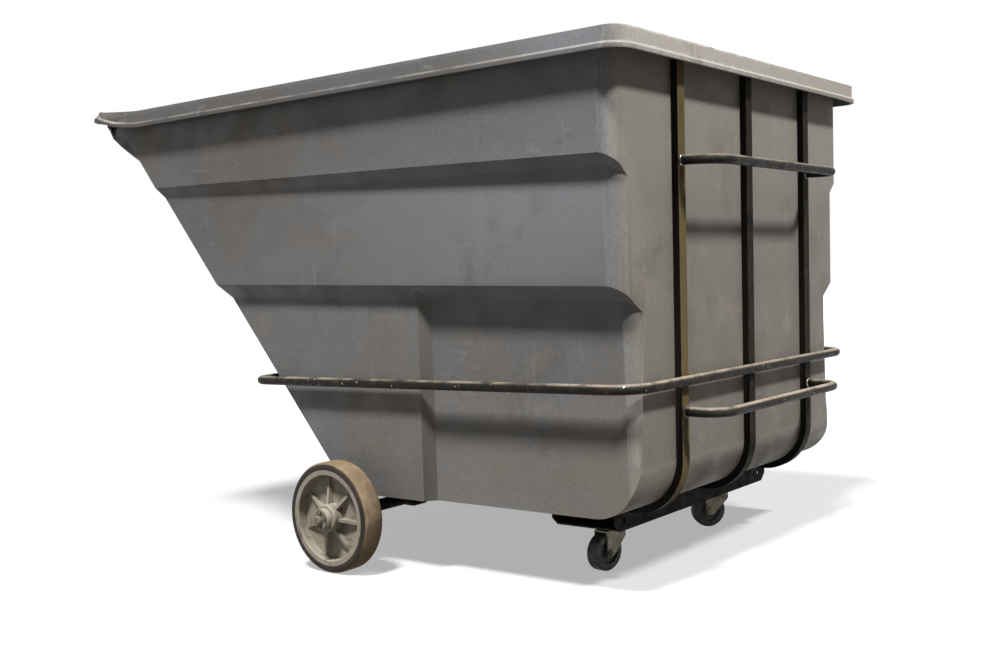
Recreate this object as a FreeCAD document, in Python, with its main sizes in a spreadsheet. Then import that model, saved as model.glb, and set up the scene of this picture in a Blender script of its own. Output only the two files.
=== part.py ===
import FreeCAD, Part
import math
import os
import Sketcher

# A tipping skip trolley: a moulded tub on a bar frame, two main wheels on one axle and two casters.
# Millimetres and degrees. +Z is up, the floor is at zero, the pouring nose points to -X and the
# handles to +X. The near side is -Y. The origin is the middle of the footprint on the floor.

doc = FreeCAD.newDocument("SkipTrolley")
sheet = doc.addObject("Spreadsheet::Sheet", "Sizes")
places = doc.addObject("Spreadsheet::Sheet", "Places")

driving_sizes = [
    # tub and rim
    ("rim_length", "2130"),
    ("rim_width", "1320"),
    ("rim_height", "1355"),
    ("rim_depth", "53"),
    ("rim_tilt", "-1"),
    ("nose_narrowing", "20"),
    ("rim_lip", "10"),
    ("rim_bead", "6"),
    ("rim_top_inset", "15"),
    ("rim_rear_radius", "62"),
    ("rim_front_radius", "60"),
    ("tub_wall", "8"),
    ("side_inset", "40"),
    ("end_inset", "60"),
    ("spout_inset", "32"),
    ("tub_rear_radius", "22"),
    ("tub_front_radius", "40"),
    ("floor_height", "200"),
    ("end_draft", "0.8"),
    ("end_foot_radius", "130"),
    ("first_ledge_below_rim", "259.7"),
    ("first_ledge_drop", "30"),
    ("first_ledge_step", "32"),
    ("first_ledge_tilt", "0.355"),
    ("second_ledge_height", "788"),
    ("second_ledge_drop", "40"),
    ("second_ledge_step", "28"),
    ("second_ledge_tilt", "0.773"),
    ("rear_panel_step", "26"),
    ("rear_panel_length", "735"),
    ("slope_foot", "1057"),
    ("spout_reach", "186.12"),
    ("spout_drop", "95"),
    ("spout_taper", "70"),
    # straps, ring and handles
    ("strap_width", "32"),
    ("strap_depth", "20"),
    ("strap_wall", "3"),
    ("strap_clearance", "0.3"),
    ("strap_spacing", "345"),
    ("strap_top_gap", "16"),
    ("ring_bar", "25.4"),
    ("ring_height", "515.5"),
    ("ring_tilt", "0.786"),
    ("ring_side_gap", "12"),
    ("ring_front", "1423"),
    ("ring_rear_radius", "85"),
    ("ring_front_radius", "60"),
    ("handle_bar", "25.4"),
    ("handle_stand", "107.7"),
    ("handle_bend", "65"),
    ("push_handle_height", "1083"),
    ("lower_handle_height", "450"),
    # caster cross-member
    ("crossmember_length", "800"),
    ("crossmember_width", "210"),
    ("crossmember_wall", "6"),
    ("crossmember_hole", "14"),
    ("crossmember_hole_inset", "40"),
    ("crossmember_end_cut", "22"),
    # axle and what is on it
    ("axle_place", "1018.9"),
    ("axle_bar", "25.4"),
    ("axle_chamfer", "2"),
    ("saddle_width", "44"),
    ("saddle_length", "76"),
    ("saddle_cheek", "12"),
    ("spacer_wall", "4.5"),
    ("washer_width", "50"),
    ("washer_thickness", "3"),
    ("cotter_wire", "5"),
    ("cotter_eye", "11"),
    ("cotter_eye_width_share", "0.8"),
    ("cotter_tail", "12"),
    ("axle_end", "11"),
    ("side_play", "0.3"),
    # main wheels
    ("wheel_size", "304.8"),
    ("wheel_stand", "110.3"),
    ("tyre_width", "63"),
    ("tyre_depth", "20.5"),
    ("tyre_shoulder", "11"),
    ("hub_ring_depth", "15"),
    ("hub_ring_edge", "3"),
    ("hub_web", "12"),
    ("hub_boss", "76"),
    ("hub_boss_length", "80"),
    ("hub_tip", "58"),
    ("hub_tip_length", "13"),
    ("rib_crest_drop", "12"),
    ("rib_thickness", "8"),
    ("rib_count", "7"),
    ("rib_phase", "6"),
    ("half_turn", "180"),
    ("bush_wall", "4"),
    # casters
    ("caster_place", "347"),
    ("caster_spacing", "277"),
    ("caster_height", "130"),
    ("caster_trail", "30"),
    ("near_caster_heading", "-97"),
    ("far_caster_heading", "-132.5"),
    ("caster_plate_length", "100"),
    ("caster_plate_width", "84"),
    ("caster_plate_thickness", "5"),
    ("caster_plate_corner", "8"),
    ("caster_hole_inset", "12.5"),
    ("caster_bolt", "8"),
    ("caster_bolt_head", "15"),
    ("caster_bolt_head_depth", "5"),
    ("caster_nut_width", "13"),
    ("caster_nut_depth", "6.5"),
    ("kingpin", "12"),
    ("kingpin_head", "22"),
    ("kingpin_head_depth", "4"),
    ("race_size", "62"),
    ("race_height", "16"),
    ("race_edge", "4"),
    ("fork_crown", "4"),
    ("fork_leg", "3.5"),
    ("fork_lead", "30"),
    ("fork_brow", "22"),
    ("fork_boss", "24"),
    ("fork_round_share", "0.98"),
    ("caster_wheel_size", "102"),
    ("caster_wheel_width", "38"),
    ("caster_tread_depth", "13"),
    ("caster_tread_edge", "6"),
    ("caster_core_recess", "7"),
    ("caster_core_boss", "32"),
    ("caster_core_ring", "5"),
    ("caster_wheel_gap", "2"),
    ("caster_axle", "10"),
    ("caster_axle_head", "17"),
    ("caster_axle_head_depth", "6"),
    ("caster_sleeve_wall", "3"),
    # floor fixings and clearances
    ("floor_bolt", "6"),
    ("floor_bolt_head", "30"),
    ("floor_bolt_head_depth", "4"),
    ("floor_hole", "18"),
    ("floor_nut_width", "10"),
    ("floor_nut_depth", "5"),
    ("bolt_tail", "3"),
    ("floor_bolt_rear_gap", "95"),
    ("floor_bolt_front_gap", "110"),
    ("hole_clearance", "0.5"),
    ("running_clearance", "0.05"),
    ("swivel_clearance", "0.3"),
    ("overrun", "20"),
]

# Places that follow from the driving sizes.
derived_places = [
    ("lip_z", "=Sizes.rim_height - Sizes.rim_depth"),
    ("draft", "=tan(Sizes.end_draft)"),
    ("strap_skew", "=Sizes.strap_depth / cos(Sizes.end_draft)"),
    ("handle_wall", "=Sizes.end_inset + (lip_z - Sizes.push_handle_height) * draft"),
    ("handle_reach", "=Sizes.handle_stand + Sizes.handle_bar / 2 - handle_wall + strap_skew"),
    ("end_x", "=(Sizes.rim_length - handle_reach) / 2"),
    ("nose_x", "=end_x - Sizes.rim_length"),
    ("wall_x", "=end_x - Sizes.end_inset"),
    ("floor_wall_x", "=wall_x - (lip_z - Sizes.floor_height) * draft"),
    ("spout_x", "=nose_x + Sizes.spout_inset"),
    ("foot_x", "=end_x - Sizes.slope_foot"),
    ("spout_z", "=lip_z - spout_x * tan(Sizes.rim_tilt)"),
    ("brow_z", "=spout_z - Sizes.spout_drop"),
    ("brow_x", "=spout_x + Sizes.spout_reach"),
    ("slope_run", "=(foot_x - brow_x) / (brow_z - Sizes.floor_height)"),
    ("first_ledge_z", "=Sizes.rim_height - Sizes.first_ledge_below_rim"),
    ("spout_run", "=(brow_x - spout_x) / Sizes.spout_drop"),
    ("cheek_x", "=brow_x - Sizes.spout_drop * slope_run"),
    ("narrowing", "=Sizes.nose_narrowing / Sizes.rim_length"),
    ("first_side", "=Sizes.rim_width / 2 - Sizes.side_inset"),
    ("second_side", "=first_side - Sizes.first_ledge_step"),
    ("third_side", "=second_side - Sizes.second_ledge_step"),
    ("rear_side", "=third_side - Sizes.rear_panel_step"),
    ("panel_x", "=end_x - Sizes.rear_panel_length"),
    ("strap_top", "=Sizes.rim_height - Sizes.tub_wall - Sizes.strap_top_gap"),
    ("strap_low", "=Sizes.floor_height - Sizes.strap_depth"),
    ("axle_x", "=end_x - Sizes.axle_place"),
    ("axle_z", "=Sizes.wheel_size / 2"),
    ("strap_end_x", "=axle_x - Sizes.saddle_length / 2"),
    ("ring_side", "=third_side + Sizes.ring_side_gap + Sizes.ring_bar / 2"),
    ("ring_wall_x", "=wall_x - (lip_z - Sizes.ring_height) * draft + strap_skew"),
    ("ring_end_x", "=(ring_wall_x + Sizes.ring_bar / 2) / (1 - tan(Sizes.ring_tilt) * draft)"),
    ("ring_front_x", "=end_x - Sizes.ring_front"),
    ("caster_x", "=end_x - Sizes.caster_place"),
    ("wheel_y", "=third_side + Sizes.wheel_stand - Sizes.tyre_width / 2"),
    ("boss_out_y", "=wheel_y + Sizes.hub_boss_length / 2 + Sizes.hub_tip_length"),
    ("boss_in_y", "=wheel_y - Sizes.hub_boss_length / 2"),
    ("washer_out_y", "=boss_out_y + Sizes.side_play"),
    ("washer_in_y", "=boss_in_y - Sizes.side_play - Sizes.washer_thickness"),
    ("spacer_y", "=Sizes.strap_spacing + Sizes.saddle_width / 2"),
    ("cotter_y", "=washer_out_y + Sizes.washer_thickness + Sizes.cotter_wire / 2"),
    ("axle_half", "=cotter_y + Sizes.axle_end"),
    ("bush_size", "=Sizes.axle_bar + 2 * (Sizes.running_clearance + Sizes.bush_wall)"),
    ("ring_seat", "=Sizes.wheel_size / 2 - Sizes.tyre_depth"),
    ("plate_low", "=Sizes.caster_height - Sizes.caster_plate_thickness"),
    ("crown_top", "=plate_low - Sizes.swivel_clearance - Sizes.race_height"),
    ("crown_low", "=crown_top - Sizes.fork_crown"),
    ("fork_gap", "=Sizes.caster_wheel_width / 2 + Sizes.caster_wheel_gap"),
    ("fork_half", "=fork_gap + Sizes.fork_leg"),
    ("caster_axle_z", "=Sizes.caster_wheel_size / 2"),
    ("sleeve_size", "=Sizes.caster_axle + 2 * (Sizes.running_clearance + Sizes.caster_sleeve_wall)"),
    ("floor_bolt_rear_x", "=caster_x - Sizes.crossmember_width / 2 - Sizes.floor_bolt_rear_gap"),
    ("floor_bolt_front_x", "=axle_x + Sizes.floor_bolt_front_gap"),
]


def fill_sheet(target, entries):
    for row, (alias, content) in enumerate(entries, start=1):
        target.set("A%d" % row, alias)
        target.set("B%d" % row, content)
        target.setAlias("B%d" % row, alias)


def number(expression):
    value = places.evalExpression(expression)
    return float(getattr(value, "Value", value))


fill_sheet(sheet, driving_sizes)
doc.recompute()
fill_sheet(places, derived_places)
doc.recompute()

nodes = []


def new_body(label, is_node=True):
    body = doc.addObject("PartDesign::Body", label)
    body.Label = label
    if is_node:
        nodes.append(body)
    return body


def place(body, x="0", y="0", z="0", turn_axis=None, turn="0"):
    if turn_axis is not None:
        rotation = FreeCAD.Rotation(turn_axis, number(turn))
        body.Placement = FreeCAD.Placement(FreeCAD.Vector(), rotation)
        body.setExpression("Placement.Rotation.Angle", turn)
    body.setExpression("Placement.Base.x", x)
    body.setExpression("Placement.Base.y", y)
    body.setExpression("Placement.Base.z", z)


def origin_feature(body, role):
    for feature in body.Origin.OriginFeatures:
        if feature.Role == role:
            return feature
    raise ValueError("no origin feature " + role)


# A sketch on one of the body's own planes, lifted off it by an offset and tilted about the Y axis.
def new_sketch(body, name, role="XY_Plane", offset="0", tilt=None):
    sketch = body.newObject("Sketcher::SketchObject", name)
    sketch.AttachmentSupport = [(origin_feature(body, role), "")]
    sketch.MapMode = "FlatFace"
    if tilt is not None:
        rotation = FreeCAD.Rotation(FreeCAD.Vector(0, 1, 0), number(tilt))
        sketch.AttachmentOffset = FreeCAD.Placement(FreeCAD.Vector(), rotation)
        sketch.setExpression("AttachmentOffset.Rotation.Angle", tilt)
    sketch.setExpression("AttachmentOffset.Base.z", offset)
    return sketch


def bind(sketch, constraint, expression):
    index = sketch.addConstraint(constraint)
    sketch.setExpression("Constraints[%d]" % index, expression)


def pin_point(sketch, geometry, position, x, y):
    bind(sketch, Sketcher.Constraint("DistanceX", -1, 1, geometry, position, number(x)), x)
    bind(sketch, Sketcher.Constraint("DistanceY", -1, 1, geometry, position, number(y)), y)


# Straight edges through corners (x, y) in order; a corner (x, y, radius) is rounded to that radius
# with a tangent arc. An open run leaves its two end points as they are.
def add_outline(sketch, corners, closed=True):
    count = len(corners)
    points = [FreeCAD.Vector(number(corner[0]), number(corner[1]), 0) for corner in corners]
    starts = list(points)
    ends = list(points)
    arcs = {}
    for index, corner in enumerate(corners):
        if len(corner) < 3:
            continue
        radius = number(corner[2])
        back = points[index - 1] - points[index]
        ahead = points[(index + 1) % count] - points[index]
        back.normalize()
        ahead.normalize()
        half_angle = back.getAngle(ahead) / 2
        reach = radius / math.tan(half_angle)
        middle = back + ahead
        middle.normalize()
        centre = points[index] + middle * (radius / math.sin(half_angle))
        ends[index] = points[index] + back * reach
        starts[index] = points[index] + ahead * reach
        turns_left = back.cross(ahead).z < 0
        first = ends[index] if turns_left else starts[index]
        last = starts[index] if turns_left else ends[index]
        first_angle = math.atan2(first.y - centre.y, first.x - centre.x)
        last_angle = math.atan2(last.y - centre.y, last.x - centre.x)
        circle = Part.Circle(centre, FreeCAD.Vector(0, 0, 1), radius)
        arcs[index] = (Part.ArcOfCircle(circle, first_angle, last_angle), turns_left)
    lines = []
    for index in range(count if closed else count - 1):
        after = (index + 1) % count
        lines.append(sketch.addGeometry(Part.LineSegment(starts[index], ends[after])))
    for index, corner in enumerate(corners):
        is_end = not closed and index in (0, count - 1)
        line_in = lines[index - 1] if index > 0 or closed else None
        line_out = lines[index] if index < len(lines) else None
        if index in arcs:
            arc_shape, turns_left = arcs[index]
            arc = sketch.addGeometry(arc_shape)
            corner_point = sketch.addGeometry(Part.Point(points[index]), True)
            arc_in = 1 if turns_left else 2
            arc_out = 2 if turns_left else 1
            pin_point(sketch, corner_point, 1, corner[0], corner[1])
            sketch.addConstraint(Sketcher.Constraint("PointOnObject", corner_point, 1, line_in))
            sketch.addConstraint(Sketcher.Constraint("PointOnObject", corner_point, 1, line_out))
            sketch.addConstraint(Sketcher.Constraint("Tangent", line_in, 2, arc, arc_in))
            sketch.addConstraint(Sketcher.Constraint("Tangent", line_out, 1, arc, arc_out))
            bind(sketch, Sketcher.Constraint("Radius", arc, number(corner[2])), corner[2])
        elif is_end:
            line, position = (line_out, 1) if index == 0 else (line_in, 2)
            pin_point(sketch, line, position, corner[0], corner[1])
        else:
            sketch.addConstraint(Sketcher.Constraint("Coincident", line_in, 2, line_out, 1))
            pin_point(sketch, line_out, 1, corner[0], corner[1])


def add_circle(sketch, x, y, diameter):
    centre = FreeCAD.Vector(number(x), number(y), 0)
    circle = Part.Circle(centre, FreeCAD.Vector(0, 0, 1), number(diameter) / 2)
    geometry = sketch.addGeometry(circle)
    pin_point(sketch, geometry, 3, x, y)
    bind(sketch, Sketcher.Constraint("Diameter", geometry, number(diameter)), diameter)


# A hexagon given by the distance across its flats, with two corners on the sketch's X direction.
def add_hexagon(sketch, x, y, across_flats):
    corner = "(%s) / sqrt(3)" % across_flats
    flat = "(%s) / 2" % across_flats
    add_outline(sketch, [
        ("%s + %s" % (x, corner), y),
        ("%s + %s / 2" % (x, corner), "%s + %s" % (y, flat)),
        ("%s - %s / 2" % (x, corner), "%s + %s" % (y, flat)),
        ("%s - %s" % (x, corner), y),
        ("%s - %s / 2" % (x, corner), "%s - %s" % (y, flat)),
        ("%s + %s / 2" % (x, corner), "%s - %s" % (y, flat)),
    ])


def add_pad(body, sketch, length, side="One side", reversed_way=False):
    pad = body.newObject("PartDesign::Pad", sketch.Name + "Pad")
    pad.Profile = sketch
    pad.SideType = side
    pad.Reversed = reversed_way
    pad.setExpression("Length", length)
    doc.recompute()
    return pad


# Cuts the same depth to both sides of the sketch's plane and makes sure that material came away.
def add_pocket(body, sketch, length):
    doc.recompute()
    before = body.Shape.Volume
    pocket = body.newObject("PartDesign::Pocket", sketch.Name + "Pocket")
    pocket.Profile = sketch
    pocket.SideType = "Symmetric"
    pocket.setExpression("Length", length)
    doc.recompute()
    if not body.Shape.Volume < before:
        raise ValueError(sketch.Name + " cuts nothing")
    return pocket


# Turns the sketch's outline once round the sketch's vertical axis.
def add_turning(body, sketch):
    turning = body.newObject("PartDesign::Revolution", sketch.Name + "Turning")
    turning.Profile = sketch
    turning.ReferenceAxis = (sketch, ["V_Axis"])
    turning.Angle = 360
    doc.recompute()
    return turning


def add_loft(body, kind, sketches):
    loft = body.newObject("PartDesign::" + kind, sketches[0].Name + "Loft")
    loft.Profile = sketches[0]
    loft.Sections = sketches[1:]
    loft.Ruled = True
    doc.recompute()
    return loft


def add_pipe(body, profile, path):
    pipe = body.newObject("PartDesign::AdditivePipe", path.Name + "Pipe")
    pipe.Profile = profile
    pipe.Spine = path
    doc.recompute()
    return pipe


# The tub is one form made twice: its outside, and the same form a wall further in as its hollow.

# One level of the tub. The upper levels narrow a little towards the nose, and from the cheek forward
# the sides also draw in by the taper.
def tub_plan(body, name, height, side, rear_side, end, skin, tilt=None, narrowing="0", cheek="brow_x",
             taper="0"):
    sketch = new_sketch(body, name, offset=height, tilt=tilt)
    front_x = "Places.spout_x + %s * sqrt(1 + Places.spout_run ^ 2)" % skin
    end_x = "%s - %s" % (end, skin)
    cheek_x = "Places." + cheek
    step_x = "(Places.panel_x - Sizes.rear_panel_step)"
    lean = "%s - (Places.end_x - %s) * %s"
    spout_side = "(%s - %s - %s)" % (lean % (side, "Places.spout_x", narrowing), skin, taper)
    cheek_side = "(%s - %s)" % (lean % (side, cheek_x, narrowing), skin)
    step_side = "(%s - %s)" % (lean % (side, step_x, narrowing), skin)
    panel_side = "(%s - %s)" % (lean % (rear_side, "Places.panel_x", narrowing), skin)
    rear_side = "(%s - %s)" % (rear_side, skin)
    front_radius = "Sizes.tub_front_radius - %s" % skin
    rear_radius = "Sizes.tub_rear_radius - %s" % skin
    add_outline(sketch, [
        (front_x, "-" + spout_side, front_radius),
        (cheek_x, "-" + cheek_side),
        (step_x, "-" + step_side),
        ("Places.panel_x", "-" + panel_side),
        (end_x, "-" + rear_side, rear_radius),
        (end_x, rear_side, rear_radius),
        ("Places.panel_x", panel_side),
        (step_x, step_side),
        (cheek_x, cheek_side),
        (front_x, spout_side, front_radius),
    ])
    return sketch


def tub_form(name, skin, top):
    body = new_body(name, is_node=False)
    ledge_one = "Places.first_ledge_z"
    ledge_one_foot = "Places.first_ledge_z - Sizes.first_ledge_drop"
    ledge_two = "Sizes.second_ledge_height"
    ledge_two_foot = "Sizes.second_ledge_height - Sizes.second_ledge_drop"
    floor = "Sizes.floor_height + %s" % skin
    levels = [
        ("Floor", floor, "third_side", "rear_side", None, "0"),
        ("LedgeTwoFoot", ledge_two_foot, "third_side", "rear_side", "Sizes.second_ledge_tilt", "0"),
        ("LedgeTwo", ledge_two, "second_side", "second_side", "Sizes.second_ledge_tilt", "0"),
        ("LedgeOneFoot", ledge_one_foot, "second_side", "second_side", "Sizes.first_ledge_tilt", "0"),
        ("LedgeOne", ledge_one, "first_side", "first_side", "Sizes.first_ledge_tilt", "Places.narrowing"),
    ]
    plans = []
    for level, height, side, rear_side, tilt, narrowing in levels:
        end = "Places.wall_x - (Places.lip_z - (%s)) * Places.draft" % height
        plans.append(tub_plan(body, name + level, height, "Places." + side, "Places." + rear_side,
                              end, skin, tilt, narrowing))
    brow_end = "Places.wall_x - (Places.lip_z - Places.brow_z) * Places.draft"
    for level, height, end, tilt, cheek in (
            ("Brow", "Places.brow_z", brow_end, None, "brow_x"),
            ("Lip", "Places.lip_z", "Places.wall_x", "Sizes.rim_tilt", "cheek_x"),
            ("Top", top, "Places.wall_x", "Sizes.rim_tilt", "cheek_x")):
        plans.append(tub_plan(body, name + level, height, "Places.first_side", "Places.first_side",
                              end, skin, tilt, "Places.narrowing", cheek, "Sizes.spout_taper"))
    add_loft(body, "AdditiveLoft", plans)

    # The pouring slope and the flatter spout above it cut the front away from below.
    slope_shift = "%s * sqrt(1 + Places.slope_run ^ 2)" % skin
    spout_shift = "%s * sqrt(1 + Places.spout_run ^ 2)" % skin
    brow_rise = "(%s - %s) / (Places.spout_run - Places.slope_run)" % (spout_shift, slope_shift)
    low = "Sizes.floor_height - Sizes.overrun"
    front = "Places.spout_x + %s - Sizes.overrun" % spout_shift
    slope_cut = new_sketch(body, name + "SlopeCut", "XZ_Plane")
    add_outline(slope_cut, [
        ("Places.foot_x + %s + Sizes.overrun * Places.slope_run" % slope_shift, low),
        ("Places.brow_x + %s - %s * Places.slope_run" % (slope_shift, brow_rise),
         "Places.brow_z + %s" % brow_rise),
        (front, "Places.spout_z + Sizes.overrun / Places.spout_run"),
        (front, low),
    ])
    add_pocket(body, slope_cut, "Sizes.rim_width")

    # The foot of the end wall turns into the floor with a large radius.
    radius = "(Sizes.end_foot_radius - %s)" % skin
    wall = "Places.floor_wall_x - %s / cos(Sizes.end_draft)" % skin
    outside = "%s + Sizes.overrun" % wall
    foot_cut = new_sketch(body, name + "FootCut", "XZ_Plane")
    rise = "Sizes.end_foot_radius"
    add_outline(foot_cut, [
        ("%s - Sizes.end_foot_radius" % wall, floor),
        ("%s + (%s) * Places.draft" % (wall, skin), floor, radius),
        ("%s + (%s + %s) * Places.draft" % (wall, skin, rise), "%s + %s" % (floor, rise)),
        (outside, "%s + %s" % (floor, rise)),
        (outside, low),
        ("%s - Sizes.end_foot_radius" % wall, low),
    ])
    add_pocket(body, foot_cut, "Sizes.rim_width")
    return body


def rim_plan(body, name, height, inset):
    sketch = new_sketch(body, name, offset=height, tilt="Sizes.rim_tilt")
    side = "(Sizes.rim_width / 2 - (%s))" % inset
    nose_side = "(Sizes.rim_width / 2 - Sizes.nose_narrowing - (%s))" % inset
    front_x = "Places.nose_x + (%s)" % inset
    end_x = "Places.end_x - (%s)" % inset
    front_radius = "Sizes.rim_front_radius - (%s)" % inset
    rear_radius = "Sizes.rim_rear_radius - (%s)" % inset
    add_outline(sketch, [
        (front_x, "-" + nose_side, front_radius),
        (end_x, "-" + side, rear_radius),
        (end_x, side, rear_radius),
        (front_x, nose_side, front_radius),
    ])
    return sketch


# The rolled rim: a bead along the lower edge, a band that leans in to the flat top, and a hollow underneath.
# It climbs a little towards the push handles.
def make_rim():
    body = new_body("rim_form", is_node=False)
    lip_top = "Places.lip_z + Sizes.rim_lip"
    band_low = "Places.lip_z + Sizes.rim_lip + Sizes.rim_bead"
    outer = [
        rim_plan(body, "RimLipLow", "Places.lip_z", "0"),
        rim_plan(body, "RimLipTop", lip_top, "0"),
        rim_plan(body, "RimBandLow", band_low, "Sizes.rim_bead"),
        rim_plan(body, "RimTop", "Sizes.rim_height", "Sizes.rim_top_inset"),
    ]
    add_loft(body, "AdditiveLoft", outer)
    under_top = "Sizes.rim_height - Sizes.tub_wall"
    hollow = [
        rim_plan(body, "RimHollowLow", "Places.lip_z - Sizes.overrun", "Sizes.tub_wall"),
        rim_plan(body, "RimHollowLip", "Places.lip_z", "Sizes.tub_wall"),
        rim_plan(body, "RimHollowTop", under_top, "Sizes.rim_top_inset + Sizes.tub_wall"),
    ]
    add_loft(body, "SubtractiveLoft", hollow)
    return body


def floor_bolt_places():
    return [(x, "%d * Sizes.strap_spacing" % row)
            for x in ("Places.floor_bolt_rear_x", "Places.floor_bolt_front_x")
            for row in (-1, 0, 1)]


def make_tub():
    rim = make_rim()
    outside = tub_form("tub_outside", "0", "Sizes.rim_height - Sizes.tub_wall / 2")
    hollow = tub_form("tub_hollow", "Sizes.tub_wall", "Sizes.rim_height + Sizes.overrun")
    holes = new_sketch(hollow, "FloorHoles", offset="Sizes.floor_height + 2 * Sizes.tub_wall")
    for x, y in floor_bolt_places():
        add_circle(holes, x, y, "Sizes.floor_hole")
    add_pad(hollow, holes, "2 * Sizes.tub_wall + Sizes.overrun", reversed_way=True)
    shell = doc.addObject("Part::Fuse", "tub_shell")
    shell.Base = outside
    shell.Tool = rim
    tub = doc.addObject("Part::Cut", "hopper_tub")
    tub.Label = "hopper_tub"
    tub.Base = shell
    tub.Tool = hollow
    doc.recompute()
    nodes.append(tub)


# A strap's side view, moved in from its skin by a gap: down the end wall, round the foot and
# along under the floor. The hollow of the bar runs out past both ends.
def strap_outline(sketch, gap, run_out):
    slant = "cos(Sizes.end_draft)"
    top = "Places.strap_top + %s" % run_out
    end = "Places.strap_end_x - %s" % run_out
    inner_floor = "Sizes.floor_height - %s" % gap
    outer_floor = "Places.strap_low + %s" % gap
    inner_wall = "Places.floor_wall_x + (Sizes.strap_clearance + %s) / %s" % (gap, slant)
    outer_wall = "Places.floor_wall_x + (Sizes.strap_depth - %s) / %s" % (gap, slant)
    top_lean = "(%s - Sizes.floor_height) * Places.draft" % top
    add_outline(sketch, [
        ("%s + %s" % (inner_wall, top_lean), top),
        ("%s - %s * Places.draft" % (inner_wall, gap), inner_floor, "Sizes.end_foot_radius + %s" % gap),
        (end, inner_floor),
        (end, outer_floor),
        ("%s - (Sizes.strap_depth - %s) * Places.draft" % (outer_wall, gap), outer_floor,
         "Sizes.end_foot_radius + Sizes.strap_depth - %s" % gap),
        ("%s + %s" % (outer_wall, top_lean), top),
    ])


def make_strap(side, row):
    body = new_body(side + "_strap")
    outline = new_sketch(body, side + "StrapOutline", "XZ_Plane")
    strap_outline(outline, "0", "0")
    add_pad(body, outline, "Sizes.strap_width", side="Symmetric")
    bore = new_sketch(body, side + "StrapBore", "XZ_Plane")
    strap_outline(bore, "Sizes.strap_wall", "Sizes.overrun")
    add_pocket(body, bore, "Sizes.strap_width - 2 * Sizes.strap_wall")
    holes = new_sketch(body, side + "StrapHoles", offset="Sizes.floor_height")
    for x in ("Places.floor_bolt_rear_x", "Places.floor_bolt_front_x"):
        add_circle(holes, x, "0", "Sizes.floor_bolt + Sizes.hole_clearance")
    add_pocket(body, holes, "Sizes.strap_depth")
    place(body, y="%d * Sizes.strap_spacing" % row)


# A round bar bent to a closed loop round the tub, welded to the straps at the back.
def make_ring():
    body = new_body("bumper_ring")
    path = new_sketch(body, "RingPath")
    add_outline(path, [
        ("Places.ring_front_x", "-Places.ring_side", "Sizes.ring_front_radius"),
        ("Places.ring_end_x", "-Places.ring_side", "Sizes.ring_rear_radius"),
        ("Places.ring_end_x", "Places.ring_side", "Sizes.ring_rear_radius"),
        ("Places.ring_front_x", "Places.ring_side", "Sizes.ring_front_radius"),
    ])
    profile = new_sketch(body, "RingProfile", "YZ_Plane")
    add_circle(profile, "-Places.ring_side", "0", "Sizes.ring_bar")
    add_pipe(body, profile, path)
    place(body, z="Sizes.ring_height", turn_axis=FreeCAD.Vector(0, 1, 0), turn="-Sizes.ring_tilt")


# A U-shaped bar that stands square to the outer faces of the two side straps.
def make_handle(label, height):
    body = new_body(label)
    path = new_sketch(body, label + "Path")
    add_outline(path, [
        ("0", "-Sizes.strap_spacing"),
        ("Sizes.handle_stand", "-Sizes.strap_spacing", "Sizes.handle_bend"),
        ("Sizes.handle_stand", "Sizes.strap_spacing", "Sizes.handle_bend"),
        ("0", "Sizes.strap_spacing"),
    ], closed=False)
    profile = new_sketch(body, label + "Profile", "YZ_Plane")
    add_circle(profile, "-Sizes.strap_spacing", "0", "Sizes.handle_bar")
    add_pipe(body, profile, path)
    face = "Places.wall_x - (Places.lip_z - %s) * Places.draft + Places.strap_skew" % height
    place(body, x=face, z=height, turn_axis=FreeCAD.Vector(0, 1, 0), turn="Sizes.end_draft")


# A channel with its legs up under the straps. Each leg has a hole near both ends, and the web's
# ends are cut back on a slant.
def make_crossmember():
    body = new_body("caster_crossmember")
    half = "Sizes.crossmember_width / 2"
    inner = "(%s - Sizes.crossmember_wall)" % half
    web_top = "Sizes.caster_height + Sizes.crossmember_wall"
    section = new_sketch(body, "CrossmemberSection", "XZ_Plane")
    add_outline(section, [
        ("-" + half, "Sizes.caster_height"),
        (half, "Sizes.caster_height"),
        (half, "Places.strap_low"),
        (inner, "Places.strap_low"),
        (inner, web_top),
        ("-" + inner, web_top),
        ("-" + inner, "Places.strap_low"),
        ("-" + half, "Places.strap_low"),
    ])
    add_pad(body, section, "Sizes.crossmember_length", side="Symmetric")
    tip = "(Sizes.crossmember_length / 2 + Sizes.overrun)"
    low = "Sizes.caster_height - Sizes.overrun"
    cut_reach = "(Sizes.crossmember_length / 2 - Sizes.crossmember_end_cut - Sizes.overrun)"
    cut_top = "Sizes.caster_height + Sizes.crossmember_end_cut + Sizes.overrun"
    end_cut = new_sketch(body, "CrossmemberEndCut", "YZ_Plane")
    for way in ("", "-"):
        add_outline(end_cut, [
            (way + cut_reach, low),
            (way + tip, low),
            (way + tip, cut_top),
        ])
    add_pocket(body, end_cut, "Sizes.crossmember_width + Sizes.overrun")
    holes = new_sketch(body, "CrossmemberHoles", "YZ_Plane")
    hole_y = "(Sizes.crossmember_length / 2 - Sizes.crossmember_hole_inset)"
    hole_z = "(Sizes.caster_height + Sizes.crossmember_wall + Places.strap_low) / 2"
    for way in ("", "-"):
        add_circle(holes, way + hole_y, hole_z, "Sizes.crossmember_hole")
    add_pocket(body, holes, "Sizes.crossmember_width + Sizes.overrun")
    plate_holes = new_sketch(body, "CrossmemberPlateHoles", offset="Sizes.caster_height")
    for way in ("", "-"):
        for x, y in caster_bolt_places():
            shifted = "%s + %sSizes.caster_spacing" % (y, way)
            add_circle(plate_holes, x, shifted, "Sizes.caster_bolt + Sizes.hole_clearance")
    add_pocket(body, plate_holes, "2 * Sizes.crossmember_wall + Sizes.overrun")
    place(body, x="Places.caster_x")


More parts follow.
